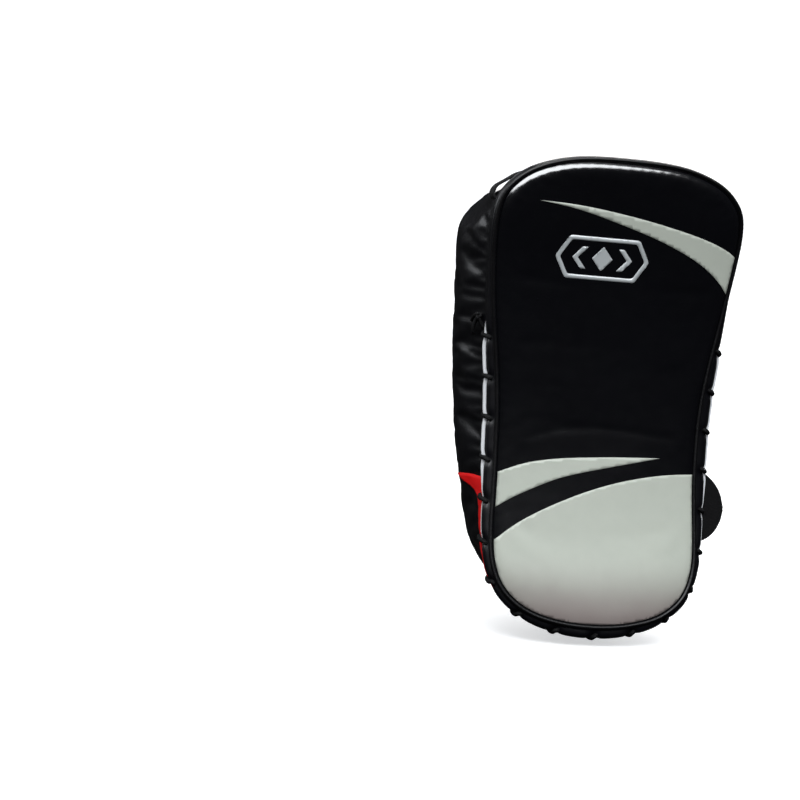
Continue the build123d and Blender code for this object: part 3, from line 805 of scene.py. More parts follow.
def panel(name, outline, mat, holes=(), clip=None, spacing=3.0, lift=0.42):
    """Thin sheet on the face inside an outline, less holes, trimmed by clip."""
    bounds = [outline, *holes] + ([clip] if clip is not None else [])

    def kept(plan):
        keep = inside(outline, plan)
        for hole in holes:
            keep &= ~inside(hole, plan)
        if clip is not None:
            keep &= inside(clip, plan)
        return keep

    verts, edges = [], []
    for bound in bounds:
        first = len(verts)
        verts += [Vector(p) for p in bound]
        edges += [(first + i, first + (i + 1) % len(bound)) for i in range(len(bound))]
    (x0, z0), (x1, z1) = outline.min(0), outline.max(0)
    xs, zs = np.meshgrid(np.arange(x0, x1, spacing), np.arange(z0, z1, spacing * 0.87))
    xs = xs + (np.arange(xs.shape[0]) % 2)[:, None] * spacing / 2
    fill = np.stack([xs.ravel(), zs.ravel()], 1)
    fill = fill[kept(fill)]
    fill = fill[edge_gap(fill, np.vstack(bounds)) > spacing * 0.35]
    verts += [Vector(p) for p in fill]
    plan, _, faces, *_ = delaunay_2d_cdt(verts, edges, [], 0, 1e-4)
    plan = np.array([tuple(p) for p in plan])
    centres = np.array([plan[list(face)].mean(0) for face in faces])
    faces = [tuple(face) for face, keep in zip(faces, kept(centres)) if keep]
    used = sorted({i for face in faces for i in face})
    renumber = {old: new for new, old in enumerate(used)}
    plan = plan[used]
    faces = [tuple(renumber[i] for i in face) for face in faces]
    y = np.array([face_y(*p) for p in plan]) - lift
    points = np.stack([plan[:, 0], y, plan[:, 1]], 1)
    obj = new_mesh(name, points, faces, mat, plan)
    turn_to(obj, obj.data.polygons[0], (0, -1, 0))
    solidify(obj, 0.3, side=0.0)
    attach(obj, "root")
    return obj


# edges of the pale panels: (x, z)
FLASH_TOP = [(-78.0, 164.9), (-43.2, 163.8), (-14.8, 160.9), (15.9, 156.5), (47.4, 150.7),
             (78.5, 143.4), (100.8, 135.4), (127.3, 119.8)]
FLASH_LOW = [(128.7, 65.3), (108.6, 95.5), (94.0, 110.2), (77.6, 121.4), (55.5, 131.9),
             (28.0, 141.8), (-2.3, 150.4), (-42.4, 160.0), (-78.0, 164.9)]
SWOOSH_TOP = [(-113.5, -85.0), (-93.5, -75.1), (-68.4, -64.9), (-38.1, -58.8), (-7.3, -55.9),
              (26.6, -53.9), (57.6, -52.9)]
SWOOSH_LOW = [(57.6, -52.9), (28.1, -59.6), (-6.7, -67.8), (-37.2, -76.5), (-64.5, -88.5),
              (-82.4, -98.1), (-114.5, -124.4)]
FIELD_TOP = [(-115.4, -155.0), (-93.1, -133.9), (-75.3, -119.4), (-51.9, -105.3),
             (-20.7, -90.7), (9.8, -79.5), (41.1, -71.5), (72.8, -66.8), (114.2, -65.6)]
FIELD_CORNERS = [(114.2, -230), (-115.4, -230)]     # below the shield, trimmed away


def pale_panels():
    trim = offset(resample(FACE_OUTLINE, 360), -4.6)
    right, left = FIELD_CORNERS
    loops = {
        "upper_flash": loop_of([FLASH_TOP, [FLASH_TOP[-1], FLASH_LOW[0]], FLASH_LOW]),
        "lower_swoosh": loop_of([SWOOSH_TOP, SWOOSH_LOW, [SWOOSH_LOW[-1], SWOOSH_TOP[0]]]),
        "lower_field": loop_of([FIELD_TOP, [FIELD_TOP[-1], right], [right, left],
                                [left, FIELD_TOP[0]]], step=3.0)}
    for name, outline in loops.items():
        obj = panel(name, outline, PALE, clip=trim)
        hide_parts(name + "_panel")


pale_panels()

BADGE_LO, BADGE_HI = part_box("face_badge")
BADGE_CENTRE = np.array([(BADGE_LO.x + BADGE_HI.x) / 2 / MM, (BADGE_LO.z + BADGE_HI.z) / 2 / MM])
# badge shapes about its centre: (x, z)
HEXAGON = [(-43, 0), (-32, 18.5), (32, 18.5), (43, 0), (32, -18.5), (-32, -18.5)]
HEXAGON_HOLE = [(-38.8, 0), (-29.8, 15.0), (29.8, 15.0), (38.8, 0), (29.8, -15.0),
                (-29.8, -15.0)]
LOZENGE = [(-9.5, 0), (0, 10.5), (9.5, 0), (0, -10.5)]
CHEVRON = [(14, 9.5), (19, 9.5), (27.5, 0), (19, -9.5), (14, -9.5), (22.5, 0)]
CHEVRON_MIRRORED = [(-x, z) for x, z in reversed(CHEVRON)]


def badge_shape(corners, radius, step=1.2):
    """Polygon with its corners cut round, placed on the badge and split into short edges."""
    corners = np.asarray(corners, float)
    cut = []
    for i, corner in enumerate(corners):
        back = unit(corners[i - 1] - corner)
        ahead = unit(corners[(i + 1) % len(corners)] - corner)
        for s in np.linspace(0, 1, 4):
            cut.append(corner + back * radius * (1 - s) ** 2 + ahead * radius * s ** 2)
    cut = np.array(cut) + BADGE_CENTRE
    points = []
    for start, end in zip(cut, np.roll(cut, -1, 0)):
        count = max(1, int(np.linalg.norm(end - start) / step))
        points += [start + (end - start) * j / count for j in range(count)]
    return np.array(points)


def badge():
    """Hexagon frame with a lozenge and two chevrons inside it."""
    look = {"mat": PRINT, "spacing": 2.0, "lift": 0.4}
    parts = [panel("badge_print", badge_shape(HEXAGON, 2.2),
                   holes=[badge_shape(HEXAGON_HOLE, 1.8)], **look)]
    for i, corners in enumerate((LOZENGE, CHEVRON, CHEVRON_MIRRORED)):
        parts.append(panel(f"badge_{i}", badge_shape(corners, 0.8), **look))
    for part in parts:
        part.parent = None
    stand_in(join("badge_print", parts), "pale_print", "face_badge")


badge()

# ---------------------------------------------------------------------------
# piping
# ---------------------------------------------------------------------------
PIPE_COLS = 960
PIPE_RIPPLE = 3.6               # length of one ripple in the piping's thickness


def piping(side, outline, depth, radius):
    obj = tube(side + "_piping_cord", on_bend(outline, depth), radius, 14, PIPING, loop=True)
    stand_in(obj, "black_piping", side + "_piping")


def pipe_ripple(along):
    return 0.06 * np.sin(along / PIPE_RIPPLE * 2 * np.pi)


def front_piping():
    along = np.arange(PIPE_COLS) / PIPE_COLS * FACE_LENGTH
    outline = offset(resample(FACE_OUTLINE, PIPE_COLS), -PIPE_R)
    outline = offset(outline, 0.16 * noise1(along, FACE_LENGTH, 5))
    radius = PIPE_R + 0.06 + pipe_ripple(along) + 0.05 * noise1(along, FACE_LENGTH, 8)
    piping("front", outline, 0.75, radius)


def rear_piping():
    length = 1100
    along = np.arange(PIPE_COLS) / PIPE_COLS * length
    outline = offset(body_outline(REAR_EDGE, PIPE_COLS),
                     -1.6 + 0.12 * noise1(along, length, 15))
    piping("rear", outline, 98.9, PIPE_R + 0.1 + pipe_ripple(along))


front_piping()

# ---------------------------------------------------------------------------
# laced side of the cap: stations round the rim shared by the band, the strip and the lace
# ---------------------------------------------------------------------------
CAP_COLS = 1152
CAP_RIM = resample(FACE_OUTLINE, CAP_COLS)
CAP_OUT = outward_normals(CAP_RIM)
LACED_RIM = offset(CAP_RIM, lace_width(CAP_RIM))
LACED_STEPS = np.linalg.norm(np.roll(LACED_RIM, -1, 0) - LACED_RIM, axis=1)
LACED_AT = np.concatenate([[0], np.cumsum(LACED_STEPS)])[:-1]
LACED_LENGTH = LACED_STEPS.sum()
# the lace holes are centred on the lowest point of the rim
LACE_HOLES = np.array([0.5 * LACED_LENGTH + (k - (LACES - 1) / 2) * LACE_PITCH
                       for k in range(LACES)])
HOLE_GAP = np.abs(LACED_AT[:, None] - LACE_HOLES[None]).min(1)
PULL = np.exp(-(HOLE_GAP / 5.0) ** 2)               # 1 at a lace hole
WIDE = ease(100, 34, CAP_RIM[:, 1])                 # 1 where the laced hem stands out
BAND_WIDTH = np.linalg.norm(LACED_RIM - CAP_RIM, axis=1)


def cap_ring(out, depth):
    """Ring round the cap, out from the face outline and at a depth."""
    return on_bend(CAP_RIM + CAP_OUT * np.broadcast_to(out, CAP_COLS)[:, None], depth)


def cap_band():
    """Leather bevel from the piping to a rolled hem, puffed between the lace holes."""
    hem_out = (BAND_WIDTH - 1.1 * PULL + 0.5 * (1 - PULL) * WIDE
               + 0.25 * noise1(LACED_AT, LACED_LENGTH, 21) * WIDE)
    hem_depth = CAP_T - 1.4 + 0.7 * PULL * WIDE - 0.3 * (1 - PULL) * WIDE
    start_out, start_depth = -0.6, 1.9
    run, fall = hem_out - start_out, hem_depth - start_depth
    slope = np.arctan2(fall, run)
    puff = ((1.5 * (1 - 0.75 * PULL) + 0.25 * noise1(LACED_AT, LACED_LENGTH, 31))
            * (0.35 + 0.65 * WIDE))

    def bevel(share, lift=0.0):
        height = lift + np.sin(np.pi * share) * puff
        return cap_ring(start_out + share * run + np.sin(slope) * height,
                        start_depth + share * fall - np.cos(slope) * height)

    rings = [bevel(share) for share in (0.0, 0.06, 0.14, 0.24, 0.36, 0.48, 0.6, 0.72, 0.82)]
    rings += [bevel(share, lift=-0.25) for share in (0.86, 0.885)]      # groove above the hem
    hem_r = 1.25
    for degrees in (150, 110, 70, 30, -10, -50, -85):
        angle = math.radians(degrees)
        rings.append(cap_ring(hem_out - hem_r + 0.2 + hem_r * math.cos(angle),
                              hem_depth + 0.35 - hem_r * math.sin(angle)))
    # closed behind
    rings += [cap_ring(hem_out - 6, hem_depth + 1.3), cap_ring(-4.2, CAP_T - 0.2),
              cap_ring(-4.2, 2.6)]
    obj = grid("cap_side_leather", np.stack(rings, 1), GUSSET, close_rows=True, close_cols=True)
    stand_in(obj, "black_leather", "cap_side_band")


def edge_strip():
    """Pale strip with a round edge behind the laced hem."""
    x, z = CAP_RIM[:, 0], CAP_RIM[:, 1]
    on_left, on_right = ease(20, 60, -x), ease(20, 60, x)
    reach = (1.9 + 1.1 * on_left * ease(-96, -50, z)) * ease(66, 36, z) - 1.2 * ease(40, 70, z)
    reach = reach - 3.6 * ease(-128, -160, z) - 1.7 * ease(-62, -104, z) * on_left
    reach = reach + 1.3 * on_right * ease(-100, -70, z) * ease(56, 36, z)
    reach = reach + BAND_WIDTH - 0.7 * PULL * WIDE + 0.35 * (1 - PULL) * WIDE
    edge_r, half_thick = 1.45, 1.5
    rings = []
    for degrees in np.linspace(90, -90, 9):
        angle = math.radians(degrees)
        rings.append(cap_ring(reach - edge_r + edge_r * math.cos(angle),
                              CAP_T + 0.15 + LINER_T / 2 - half_thick * math.sin(angle)))
    rings += [cap_ring(BAND_WIDTH - 13, CAP_T + LINER_T), cap_ring(BAND_WIDTH - 13, CAP_T + 0.2)]
    obj = grid("pale_edge_strip", np.stack(rings, 1), EDGING, close_rows=True, close_cols=True)
    stand_in(obj, "pale_edging", "edge_liner")


cap_band()
edge_strip()


# ---------------------------------------------------------------------------
# body cover
# ---------------------------------------------------------------------------
def body_cover():
    """Side wall of the pad; returns the ray tree of its outside."""
    cols = 384
    depths = np.concatenate([[BODY_START + 0.1, 14.2, 16.5, 19.5], np.linspace(24, 88, 17),
                             [91.5, 94.5, 96.8, BODY_END]])
    rings = []
    for depth in depths:
        share = (depth - BODY_START) / (BODY_END - BODY_START)
        bulge = 0.6 * math.sin(math.pi * share) - (1.4 if depth > 98 else 0.0)
        rings.append(on_bend(offset(body_outline(depth, cols), bulge), depth))
    skin = grid("body_cover", np.stack(rings, 1), GUSSET, close_rows=True)
    centre = read_points(skin.data).mean(0)
    sample = skin.data.polygons[len(depths) * 3]
    turn_to(skin, sample, Vector(sample.center) - Vector(centre * MM))
    pin = np.zeros((cols, len(depths)))
    pin[:, :2] = 1
    pin[:, -2:] = 1
    pin[:, 2] = 0.5
    inflate(skin, pin.ravel(), pressure=1.6, cap=3.2, stiff=8, grow=0.028)
    # long and short creases, fading out at both seams
    points = read_points(skin.data)
    x, y, z = points.T
    depth = np.tile(depths, cols)
    outward = unit(points - np.stack([np.zeros(len(points)), y, z * 0.45], 1))
    share = (depth - BODY_START) / (BODY_END - BODY_START)
    creases = (noise3(np.stack([x, depth * 0.55, z], 1), 30, 12) * 0.35
               + noise3(np.stack([x * 1.2, depth * 0.4, z * 1.5], 1), 13, 14) * 0.14)
    points = points + outward * (creases * np.sin(np.pi * share) ** 0.6)[:, None]
    write_points(skin, points)
    subdivide(skin)
    tree = ray_tree(skin)
    solidify(skin, 1.5)
    stand_in(skin, "black_leather", "body_side_gusset", "front_foam_layer",
             "middle_foam_layer", "rear_foam_layer")
    return tree


BODY_TREE = body_cover()
rear_piping()


# ---------------------------------------------------------------------------
# lacing: one cord that whips over the cap hem and the body edge
# ---------------------------------------------------------------------------
def laced_point(along, out, depth):
    """Point at a length along the laced rim, out from it and at a depth."""
    station = np.interp(along, np.append(LACED_AT, LACED_LENGTH), np.arange(CAP_COLS + 1))
    station = station % CAP_COLS
    i, share = int(station), station - int(station)
    j = (i + 1) % CAP_COLS
    rim = LACED_RIM[i] * (1 - share) + LACED_RIM[j] * share
    outward = unit(CAP_OUT[i] * (1 - share) + CAP_OUT[j] * share)
    if out > -2:                # drawn tight under the lower end
        out -= 1.2 * float(ease(-120, -170, rim[1]))
    spot = rim + outward * out
    return np.array([spot[0], float(y_at(spot[1], depth)), spot[1]])


def lace_cord():
    """Makes the lace and returns the end of its path."""
    random = np.random.default_rng(7)
    path = []
    for k, hole in enumerate(LACE_HOLES):
        jitter = random.uniform(-0.8, 0.8)
        start, end = hole - 2.2 + jitter, hole + 2.6 + jitter * 0.5
        middle = (start + end) / 2
        # one turn over the edge: (place along the rim, out, depth)
        turn = [(start - 1.0, -6.0, 9.0), (start, -4.0, 6.6), (start + 0.4, -2.3, 4.6),
                (middle - 0.8, -0.4, 5.2), (middle, 1.1, 7.8), (middle + 0.4, 1.9, 11.4),
                (end - 0.4, 1.2, 14.8), (end, -0.6, 17.2), (end + 1.0, -4.0, 18.6)]
        if k < LACES - 1:       # hidden run to the next hole
            gap = LACE_HOLES[k + 1] - end
            turn += [(end + gap * 0.33, -6.5, 16.5), (end + gap * 0.66, -8.5, 11.0)]
        path += [laced_point(*stop) for stop in turn]
    path = open_spline(path, 2200)
    stand_in(tube("lace_cord", path, 2.1, 12, CORD), "lace_cord", "lace_stitches")
    return path[-1]


LACE_END = lace_cord()


# ---------------------------------------------------------------------------
# frames and sewing on the back
# ---------------------------------------------------------------------------
class BackFrame:
    """Axes on the back: u across, v away from the back, w up along it."""

    def __init__(self, z):
        radius = BEND_R + PAD_T + 2.0
        cos, sin = math.sqrt(radius * radius - z * z) / radius, z / radius
        self.origin = np.array([0, BEND_Y + math.sqrt(radius * radius - z * z), z])
        self.u = np.array([1.0, 0, 0])
        self.v = np.array([0, cos, sin])
        self.w = np.array([0, -sin, cos])

    def at(self, u, v, w):
        u, v, w = np.broadcast_arrays(np.asarray(u, float), v, w)
        return self.origin + u[..., None] * self.u + v[..., None] * self.v + w[..., None] * self.w


UPPER, LOWER, GRIP = BackFrame(44.0), BackFrame(-95.0), BackFrame(140.0)


def shifted(points, amount):
    """Path moved to the right of its direction, as 25 equal steps."""
    path = open_spline(points, 240)
    return equal_steps(path - line_normals(path) * amount, 25, loop=False)


def ribbon(name, points, base, half_width, thickness, mat, step=1.8, cols=26, wave=0.0,
           seed=40, round_end=0.0, droop=0.0):
    """Flat strap whose middle line runs through (u, v) points in a back frame."""
    length = arc_length(np.asarray(points, float))[-1]
    path = open_spline(points, max(8, int(length / step)))
    normal = line_normals(path)
    along = arc_length(path)
    to_end = along[-1] - along
    across = np.linspace(-1, 1, cols)
    across = np.sign(across) * np.abs(across) ** 0.85
    half = np.full(len(path), float(half_width))
    if round_end:
        arc = np.sqrt(np.maximum(round_end ** 2 - (round_end - to_end) ** 2, 0.4))
        half = np.minimum(np.where(to_end < round_end, arc, half), half_width)
    width = half[:, None] * across[None] - droop * ease(100, 0, to_end)[:, None]
    skin = base.at(path[:, None, 0], path[:, None, 1], width)
    outward = (normal[:, 0, None] * base.u + normal[:, 1, None] * base.v)[:, None, :]
    ripple = wave * noise3(skin.reshape(-1, 3), 42, seed).reshape(skin.shape[:-1])
    skin = skin + outward * ripple[..., None]
    edge = np.abs(across) ** 10
    skin = skin + outward * (-(0.25 * thickness) * edge)[None, :, None] * 0.4
    obj = grid(name, skin, mat)
    solidify(obj, thickness, side=0.0)
    return obj


STITCH_LENGTH, STITCH_GAP, STITCH_R, STITCH_LIFT = 3.4, 1.3, 0.42, 0.22


def stitches(name, rows, body="root"):
    """Thread stitches along rows of (points, outward normals)."""
    sides = 6
    # sections of one stitch: share of its length, lift and thickness
    shares = np.array([0.0, 0.18, 0.5, 0.82, 1.0])
    lifts = np.array([-0.45, 0.05, 1.0, 0.05, -0.45])
    widths = (0.55, 1.0, 1.05, 1.0, 0.55)
    verts, faces = [], []
    for points, normals in rows:
        points = np.asarray(points, float)
        along = arc_length(points)
        start = STITCH_GAP / 2
        while start + STITCH_LENGTH < along[-1]:
            spots = shares * STITCH_LENGTH + start
            centre = np.stack([np.interp(spots, along, points[:, i]) for i in range(3)], 1)
            normal = unit(np.stack([np.interp(spots, along, normals[:, i])
                                    for i in range(3)], 1))
            centre = centre + normal * (lifts * STITCH_LIFT)[:, None]
            tangent = unit(np.gradient(centre, axis=0))
            side = unit(np.cross(tangent, normal))
            above = np.cross(side, tangent)
            first = len(verts)
            for i, width in enumerate(widths):
                for k in range(sides):
                    angle = k * math.pi / 3
                    verts.append(centre[i] + (side[i] * math.cos(angle)
                                              + above[i] * math.sin(angle)) * STITCH_R * width)
            skin = quads(len(widths), sides, close_cols=True, flip=True)
            ends = [tuple(reversed(range(sides))),
                    tuple(range((len(widths) - 1) * sides, len(widths) * sides))]
            faces += [tuple(first + i for i in face) for face in skin + ends]
            start += STITCH_LENGTH + STITCH_GAP
    verts = np.array(verts)
    obj = new_mesh(name, verts, faces, THREAD, verts[:, [0, 2]])
    fix_normals(obj)
    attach(obj, body)


def sewn_row(base, start, end, height, count=40, normal=None):
    """Straight row between two (u, w) points at a height above a back frame."""
    row = line(start, end, count)
    normal = base.v if normal is None else normal
    return base.at(row[:, 0], height, row[:, 1]), np.tile(normal, (count, 1))


def sewn_box(base, u0, u1, half, height):
    corners = [(u0, -half), (u0, half), (u1, half), (u1, -half), (u0, -half)]
    return [sewn_row(base, a, b, height) for a, b in zip(corners, corners[1:])]


# ---------------------------------------------------------------------------
# red flashes on the lower flanks
# ---------------------------------------------------------------------------
FLANK_COLS = 960
FLANK_TOP, FLANK_LOW = -74, -168
FLANK_FRONT = 13.6              # depth of the flashes' front edge


@cache
def flank_ring(depth):
    outline = body_outline(depth, FLANK_COLS)
    return outline, outward_normals(outline)


def flank_point(plan, outward, y, lift=0.45):
    """Point on the body cover, found by a ray from outside."""
    across, up = outward
    hit = cast(BODY_TREE, (plan[0] + across * 25, y, plan[1] + up * 25), (-across, 0, -up))
    if hit is None:             # the ray may pass the cover's front or rear edge
        return np.array([plan[0] + across * lift, y, plan[1] + up * lift])
    return hit + np.array([across, 0, up]) * lift


def side_flash(side, name):
    """Red sheet on one flank; side is -1 for -X, 1 for +X."""
    base = resample(BODY_OUTLINE, FLANK_COLS)
    stations = [i for i in range(FLANK_COLS)
                if side * base[i, 0] > 40 and FLANK_LOW < base[i, 1] < FLANK_TOP]
    stations.sort(key=lambda i: -base[i, 1])
    rows = []
    for i in stations[::3]:
        share = (base[i, 1] - FLANK_TOP) / (FLANK_LOW - FLANK_TOP)
        rear = 24.0 + 52.0 * (1 - min(1.0, max(0.0, share / 0.2))) ** 1.15
        row = []
        for m in range(15):
            depth = FLANK_FRONT + (rear - FLANK_FRONT) * m / 14
            ring_depth = round(depth, 1)
            outline, outward = flank_ring(ring_depth)
            # the rows slope down towards the back
            z_step = base[(i + 1) % FLANK_COLS, 1] - base[i, 1]
            station = i - 8.0 * (depth - FLANK_FRONT) / 61.0 / z_step
            whole = int(math.floor(station))
            part = station - whole
            plan = (outline[whole % FLANK_COLS] * (1 - part)
                    + outline[(whole + 1) % FLANK_COLS] * part)
            row.append(flank_point(plan, outward[whole % FLANK_COLS],
                                   float(y_at(plan[1], ring_depth))))
        rows.append(row)
    obj = grid(f"side_flash_{name}", rows, RED)
    turn_to(obj, middle_polygon(obj), (side, 0, 0))
    solidify(obj, 0.8, side=0.0)
    return obj


stand_in(join("side_flash_panels_red", [side_flash(-1, "left"), side_flash(1, "right")]),
         "red_leather", "side_flash_panels")


# ---------------------------------------------------------------------------
# hanging loop and lace knot
# ---------------------------------------------------------------------------
def hanging_loop():
    rows, cols = 46, 9
    path = open_spline([(-109.5, 163.0), (-114.6, 168.6), (-112.6, 175.4), (-106.0, 180.6),
                        (-98.6, 185.6), (-91.5, 189.6), (-84.0, 190.6)], rows)     # (x, z)
    y = np.linspace(float(y_at(180, 18.0)) + 0.2, float(y_at(180, 30.0)) - 0.2, cols)
    skin = np.stack(np.broadcast_arrays(path[:, None, 0], y[None], path[:, None, 1]), -1)
    obj = grid("webbing_hanging_loop", skin, WEB)
    solidify(obj, 2.4, side=0.0)
    stand_in(obj, "webbing", "hanging_loop")


def lace_knot():
    """Trefoil knot past the last lace hole, with a lead and two tails."""
    along = 0.5 * LACED_LENGTH + ((LACES - 1) / 2 + 0.5) * LACE_PITCH
    centre = laced_point(along, 5.0, 18.0)
    turn = np.linspace(0, 2 * math.pi, 72, endpoint=False)
    trefoil = np.stack([np.sin(turn) + 2 * np.sin(2 * turn), -0.9 * np.sin(3 * turn),
                        np.cos(turn) - 2 * np.cos(2 * turn)], 1) * np.array([0.78, 0.95, 0.95])

    def tail(name, stops, count):
        path = open_spline([centre] + [centre + np.array(stop) for stop in stops], count)
        radius = np.where(np.arange(count) > count - 3, 1.6, 1.8)
        return tube(name, path, radius, 10, CORD)

    lead = open_spline([LACE_END, laced_point(along - 9, 1.0, 18.2),
                        centre + np.array([0.4, 0.0, -1.0])], 24)
    parts = [tube("knot_a", centre + trefoil, 1.5, 10, CORD, loop=True),
             tube("knot_b", lead, 1.9, 10, CORD),
             tail("knot_c", [(-1.6, 3.2, -5.0), (-2.4, 5.6, -11.0), (-1.2, 8.0, -15.5)], 26),
             tail("knot_d", [(-1.4, 5.0, 0.6), (-2.0, 9.6, -1.6), (-2.2, 13.0, -4.2)], 24)]
    stand_in(join("lace_end_knot", parts), "lace_cord", "lace_knot")


hanging_loop()
lace_knot()


# ---------------------------------------------------------------------------
# back panel
# ---------------------------------------------------------------------------
def back_panel():
    cols = 240
    rim = offset(body_outline(REAR_EDGE, cols), -3.3)
    spine = np.stack([np.zeros(cols), rim[:, 1] * 0.62], 1)
    shares = np.concatenate([[0.0, 0.02, 0.045, 0.08, 0.12], np.linspace(0.17, 1.0, 20)])
    plan = np.vstack([rim + (spine - rim) * share for share in shares])
    gap = edge_gap(plan, rim)
    flat = np.column_stack([plan, np.zeros(len(plan))])
    depth = (98.7 + 1.25 * (1 - np.exp(-gap / 5.0))
             + 0.16 * noise3(flat, 48, 77) * ease(3, 14, gap))
    points = on_bend(plan, np.minimum(depth, PAD_T))
    obj = ring_mesh("back_cover_panel", points, cols, GUSSET, merge=0.35)
    turn_to(obj, obj.data.polygons[10], (0, 1, 0))
    subdivide(obj)
    solidify(obj, 1.6)
    stand_in(obj, "black_leather", "back_panel")


back_panel()

# ---------------------------------------------------------------------------
# forearm bed cushion
# ---------------------------------------------------------------------------
BED_HALF_X, BED_HALF_Z, BED_CORNER = 41.0, 122.0, 26.0
BED_CHANNELS = (-76.0, -25.5, 25.5, 76.0)           # z of the quilted channels
# side of the cushion: (inset, share of the height)
BED_PROFILE = [(1.6, 0.02), (0.4, 0.10), (-0.5, 0.24), (-0.8, 0.42), (-0.5, 0.60),
               (0.6, 0.76), (2.4, 0.885), (5.0, 0.955), (8.2, 0.985)]


def bed_outline(count=240):
    x, z = BED_HALF_X - BED_CORNER, BED_HALF_Z - BED_CORNER
    points = []
    for corner_x, corner_z, start in ((x, z, 90), (x, -z, 0), (-x, -z, -90), (-x, z, -180)):
        for degrees in np.linspace(start, start - 90, 16):
            angle = math.radians(degrees)
            points.append((corner_x + BED_CORNER * math.cos(angle),
                           corner_z + BED_CORNER * math.sin(angle)))
    return equal_steps(np.array(points + [points[0]]), count + 1, loop=False)[:-1]


def channel_mask(z, width):
    """1 in the middle of a quilted channel, fading over width."""
    return np.max([np.exp(-((z - channel) / width) ** 2) for channel in BED_CHANNELS], axis=0)


def forearm_bed():
    rim = bed_outline()

    def ring(plan, share):
        """Ring raised from just behind the back (0) to y = 0 (1)."""
        base = y_at(plan[:, 1], 100.2)
        return np.stack([plan[:, 0], base - base * share, plan[:, 1]], 1)

    rings = [ring(offset(rim, -inset), share) for inset, share in BED_PROFILE]
    top_inset, top_share = BED_PROFILE[-1]
    start = offset(rim, -top_inset)
    spine = np.stack([np.zeros(len(rim)), np.clip(rim[:, 1], -88, 88)], 1)
    for share in np.linspace(0.08, 1.0, 13):
        rings.append(ring(start + (spine - start) * share,
                          top_share + 0.015 * min(1, share * 4)))
    points = np.vstack(rings)
    on_top = ease(6, 11, edge_gap(points[:, [0, 2]], rim))
    channel = channel_mask(points[:, 2], 3.0)
    points[:, 1] -= (on_top * (2.3 * channel + 0.25 * (points[:, 0] / 34) ** 2)
                     - 0.15 * on_top * (1 - channel))
    points[:, 1] += 0.22 * noise3(points, 26, 91) * on_top
    bed = ring_mesh("forearm_bed_cushion", points, len(rim), GUSSET, merge=0.4)
    turn_to(bed, max(bed.data.polygons, key=lambda p: p.center.y), (0, 1, 0))
    points = read_points(bed.data)
    gap = edge_gap(points[:, [0, 2]], rim)
    pin = np.maximum(np.clip(1 - (gap - 1.0) / 6, 0, 1),
                     channel_mask(points[:, 2], 1.6) * ease(6, 10, gap))
    inflate(bed, pin, pressure=1.0, cap=1.2, stiff=20)
    subdivide(bed)
    solidify(bed, 1.4)
    stand_in(bed, "black_leather", "forearm_bed_cover", "forearm_bed_foam")

    tree = ray_tree(bed)
    count, lift = 60, 0.1
    rows = []
    for z in BED_CHANNELS:
        row = [[x, cast(tree, (x, 200, z), (0, -1, 0))[1] + lift, z]
               for x in np.linspace(-31, 31, count)]
        rows.append((row, np.tile([0, 1.0, 0], (count, 1))))
    stitches("bed_channel_stitches", rows)


forearm_bed()

# ---------------------------------------------------------------------------
# patches sewn on the back panel
# ---------------------------------------------------------------------------
PATCH_FRONT, PATCH_BACK = 100.05, 102.0             # depths of the patches' two sides
PATCH_CORNER = 6.0


def patch(name, base, u0, u1, half_height):
    """Rounded rectangle from u0 to u1; returns it with its row of stitches."""
    length = u1 - u0
    middle = (PATCH_FRONT + PATCH_BACK) / 2
    us = np.concatenate([[0, 0.4, 1.2, 2.4, 4.0, 6.0], np.linspace(8, length / 2, 5)])
    us = np.concatenate([us, length - us[::-1][1:]])

    def limit(from_end):
        drop = PATCH_CORNER ** 2 - (PATCH_CORNER - from_end) ** 2
        return np.where(from_end < PATCH_CORNER,
                        half_height - PATCH_CORNER + np.sqrt(np.maximum(drop, 0)), half_height)

    half = np.minimum(limit(us), limit(length - us))[:, None]
    across = np.concatenate([[-1, -0.985, -0.96, -0.92], np.linspace(-0.86, 0.86, 17),
                             [0.92, 0.96, 0.985, 1]])
    width = half * across[None]
    skin = base.at((u0 + us)[:, None], 0.0, width)
    gap = np.minimum(np.minimum(us, length - us)[:, None], half - np.abs(width))
    gap = np.maximum(gap, 0)
    groove = 0.27 * np.exp(-((gap - 3.0) / 0.9) ** 2)
    skin[..., 1] = y_at(skin[..., 2], middle + 0.15 * ease(0, 2.5, gap) - groove)
    obj = grid(name, skin, GUSSET)
    turn_to(obj, middle_polygon(obj), (0, 1, 0))
    solidify(obj, PATCH_BACK - PATCH_FRONT - 0.15, side=0.0)

    # stitches in the groove, with the corners cut off
    left, right, top, cut = u0 + 3.0, u1 - 3.0, half_height - 3.0, 3
    corners = [(left, cut - top), (left, top - cut), (left + cut, top), (right - cut, top),
               (right, top - cut), (right, cut - top), (right - cut, -top),
               (left + cut, -top), (left, cut - top)]
    row = np.vstack([line(a, b, 24)[:-1] for a, b in zip(corners, corners[1:])])
    row = base.at(row[:, 0], 0.0, row[:, 1])
    row[:, 1] = y_at(row[:, 2], PATCH_BACK - 0.12)
    return obj, (row, np.tile(base.v, (len(row), 1)))


